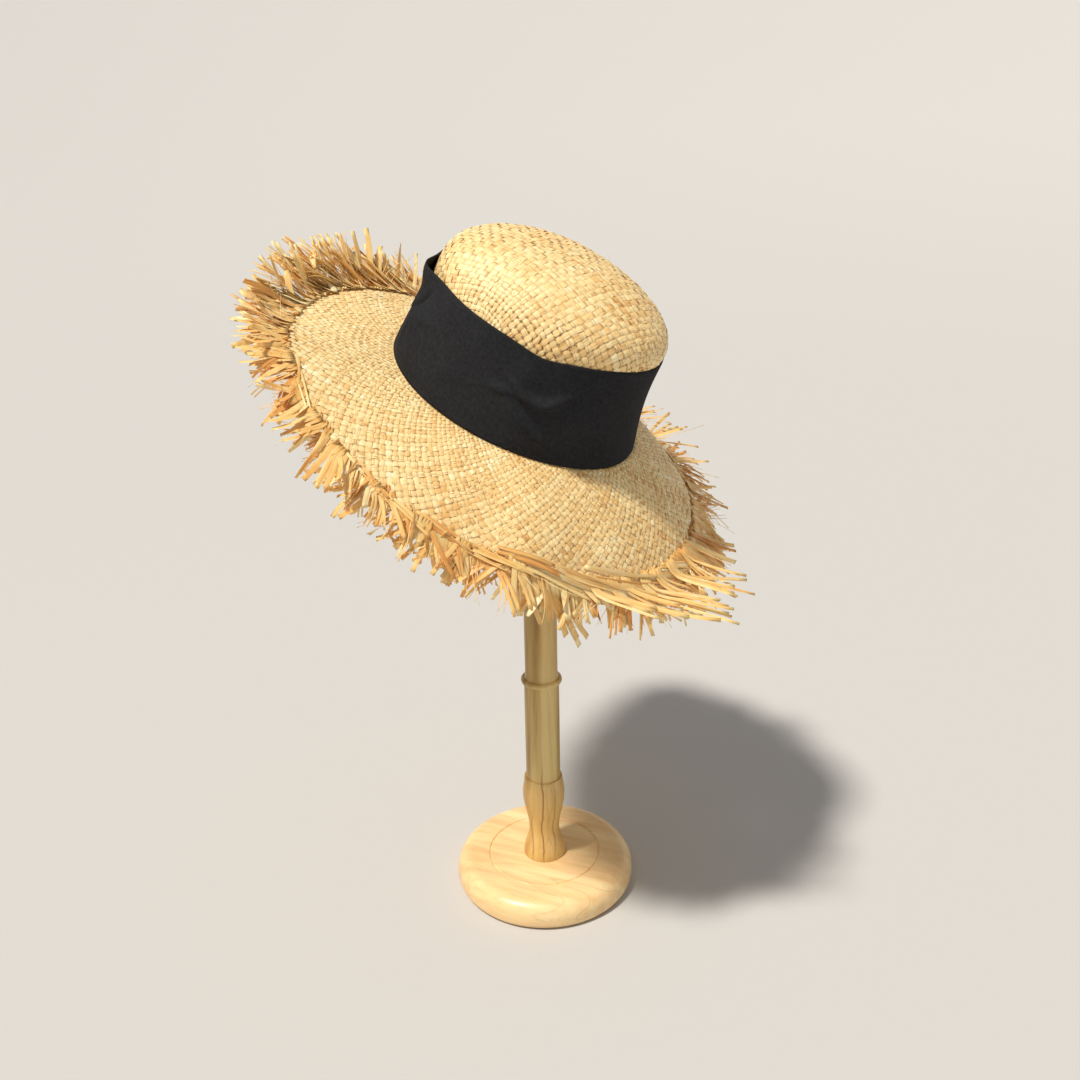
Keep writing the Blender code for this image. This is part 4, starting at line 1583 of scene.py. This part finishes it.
# %% The pole: flare, waist, bulge, step, shaft, ring and neck
FLARE_RADIUS = 0.0183
WAIST_RADIUS = 0.0131
BULGE_RADIUS = 0.0181
STEP_RADIUS = 0.0164
SHAFT_RADIUS = 0.0146
RING_RADIUS = 0.0171
NECK_RADIUS = 0.0135
FLARE_RISE = 0.026
BULGE_RISE = 0.036
STEP_RISE = 0.016
SHAFT_LENGTH = 0.088
RING_HEIGHT = 0.011
STEP_ROUND = 0.0006

pole_low, pole_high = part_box("stand_pole")
knob_low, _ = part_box("stand_knob")
waist = pole_low[2] + FLARE_RISE
bulge = waist + BULGE_RISE
step_height = bulge + STEP_RISE
ring_low = step_height + SHAFT_LENGTH
pole_profile = [(FLARE_RADIUS, pole_low[2])]
pole_profile += eased(pole_profile[-1], (WAIST_RADIUS, waist), 10)
pole_profile += eased(pole_profile[-1], (BULGE_RADIUS, bulge), 12)
pole_profile += eased(pole_profile[-1], (STEP_RADIUS, step_height - STEP_ROUND), 8)
pole_profile += [(STEP_RADIUS - 0.0004, step_height), (SHAFT_RADIUS, step_height + STEP_ROUND / 2)]
pole_profile += [(SHAFT_RADIUS, step_height + SHAFT_LENGTH / 2), (SHAFT_RADIUS, ring_low)]
ring_round = RING_HEIGHT / 4
pole_profile += arc((RING_RADIUS - ring_round, ring_low + RING_HEIGHT / 2), ring_round, -90, 90, 10)
pole_profile += [(NECK_RADIUS, ring_low + RING_HEIGHT), (NECK_RADIUS, (ring_low + pole_high[2]) / 2)]
pole_profile += [(NECK_RADIUS, pole_high[2])]
pole = turned("pole", pole_profile, 72, pole_wood)
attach(pole, "root")
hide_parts("stand_pole")

# %% The knob, a ball cut flat where the pole meets it
KNOB_RADIUS = 0.040
KNOB_CUT = 0.026
knob_middle = knob_low[2] + KNOB_CUT
cut_angle = math.degrees(math.asin(-KNOB_CUT / KNOB_RADIUS))
knob_profile = arc((0.0, knob_middle), KNOB_RADIUS, cut_angle, 88, 24)
knob = turned("knob", knob_profile, 72, pale_wood)
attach(knob, "root")
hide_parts("stand_knob")

# %% [markdown]
# ## The floor and the light
#
# The part stands on a plain pale floor that rises gently all round, as in a photographer's studio, so that
# no horizon shows in a view that looks down on it by 15 degrees or more. One strong light comes from the
# upper left front, as the sun does in the photograph, and its shadows have a slightly soft edge. A pale sky
# fills them in.

# %% The floor, turned up towards its rim
FLOOR_RADIUS = 2.5
FLOOR_COLOUR = (0.56, 0.55, 0.54, 1.0)
# slope in degrees and width of each ring round the flat middle
FLOOR_RINGS = (
    (4, 0.8),
    (8, 0.8),
    (12, 0.8),
    (16, 0.8),
    (20, 12.0),
)

floor_profile = [(FLOOR_RADIUS, 0.0)]
for slope, step in FLOOR_RINGS:
    radius, height = floor_profile[-1]
    floor_profile.append((radius + step, height + step * math.tan(math.radians(slope))))
floor = grow_rings("floor", floor_profile, 96, bpy.ops.mesh.extrude_edges_move, inside=True)
bpy.ops.object.shade_smooth_by_angle(angle=math.radians(30))
floor_material, floor_shader, _ = new_material("floor_paint", 0.80)
floor_shader.inputs["Base Color"].default_value = FLOOR_COLOUR
floor.data.materials.append(floor_material)
print("floor", len(floor.data.polygons), "faces")

# %% The lights
SUN_FROM = Vector((-0.387, -0.261, 0.884))
SUN_STRENGTH = 3.6
SUN_COLOUR = (1.0, 0.95, 0.87)
SKY_STRENGTH = 0.32
SKY_COLOUR = (0.97, 0.96, 0.93, 1.0)

sun_data = bpy.data.lights.new("key", "SUN")
sun_data.energy = SUN_STRENGTH
sun_data.angle = math.radians(6.0)
sun_data.color = SUN_COLOUR
sun = add_object("key", sun_data)
sun.matrix_world = SUN_FROM.to_track_quat("Z", "Y").to_matrix().to_4x4()
world = bpy.data.worlds.new("studio")
bpy.context.scene.world = world
world.use_nodes = True
world.node_tree.nodes["Background"].inputs["Color"].default_value = SKY_COLOUR
world.node_tree.nodes["Background"].inputs["Strength"].default_value = SKY_STRENGTH
bpy.context.scene.view_settings.view_transform = "Standard"
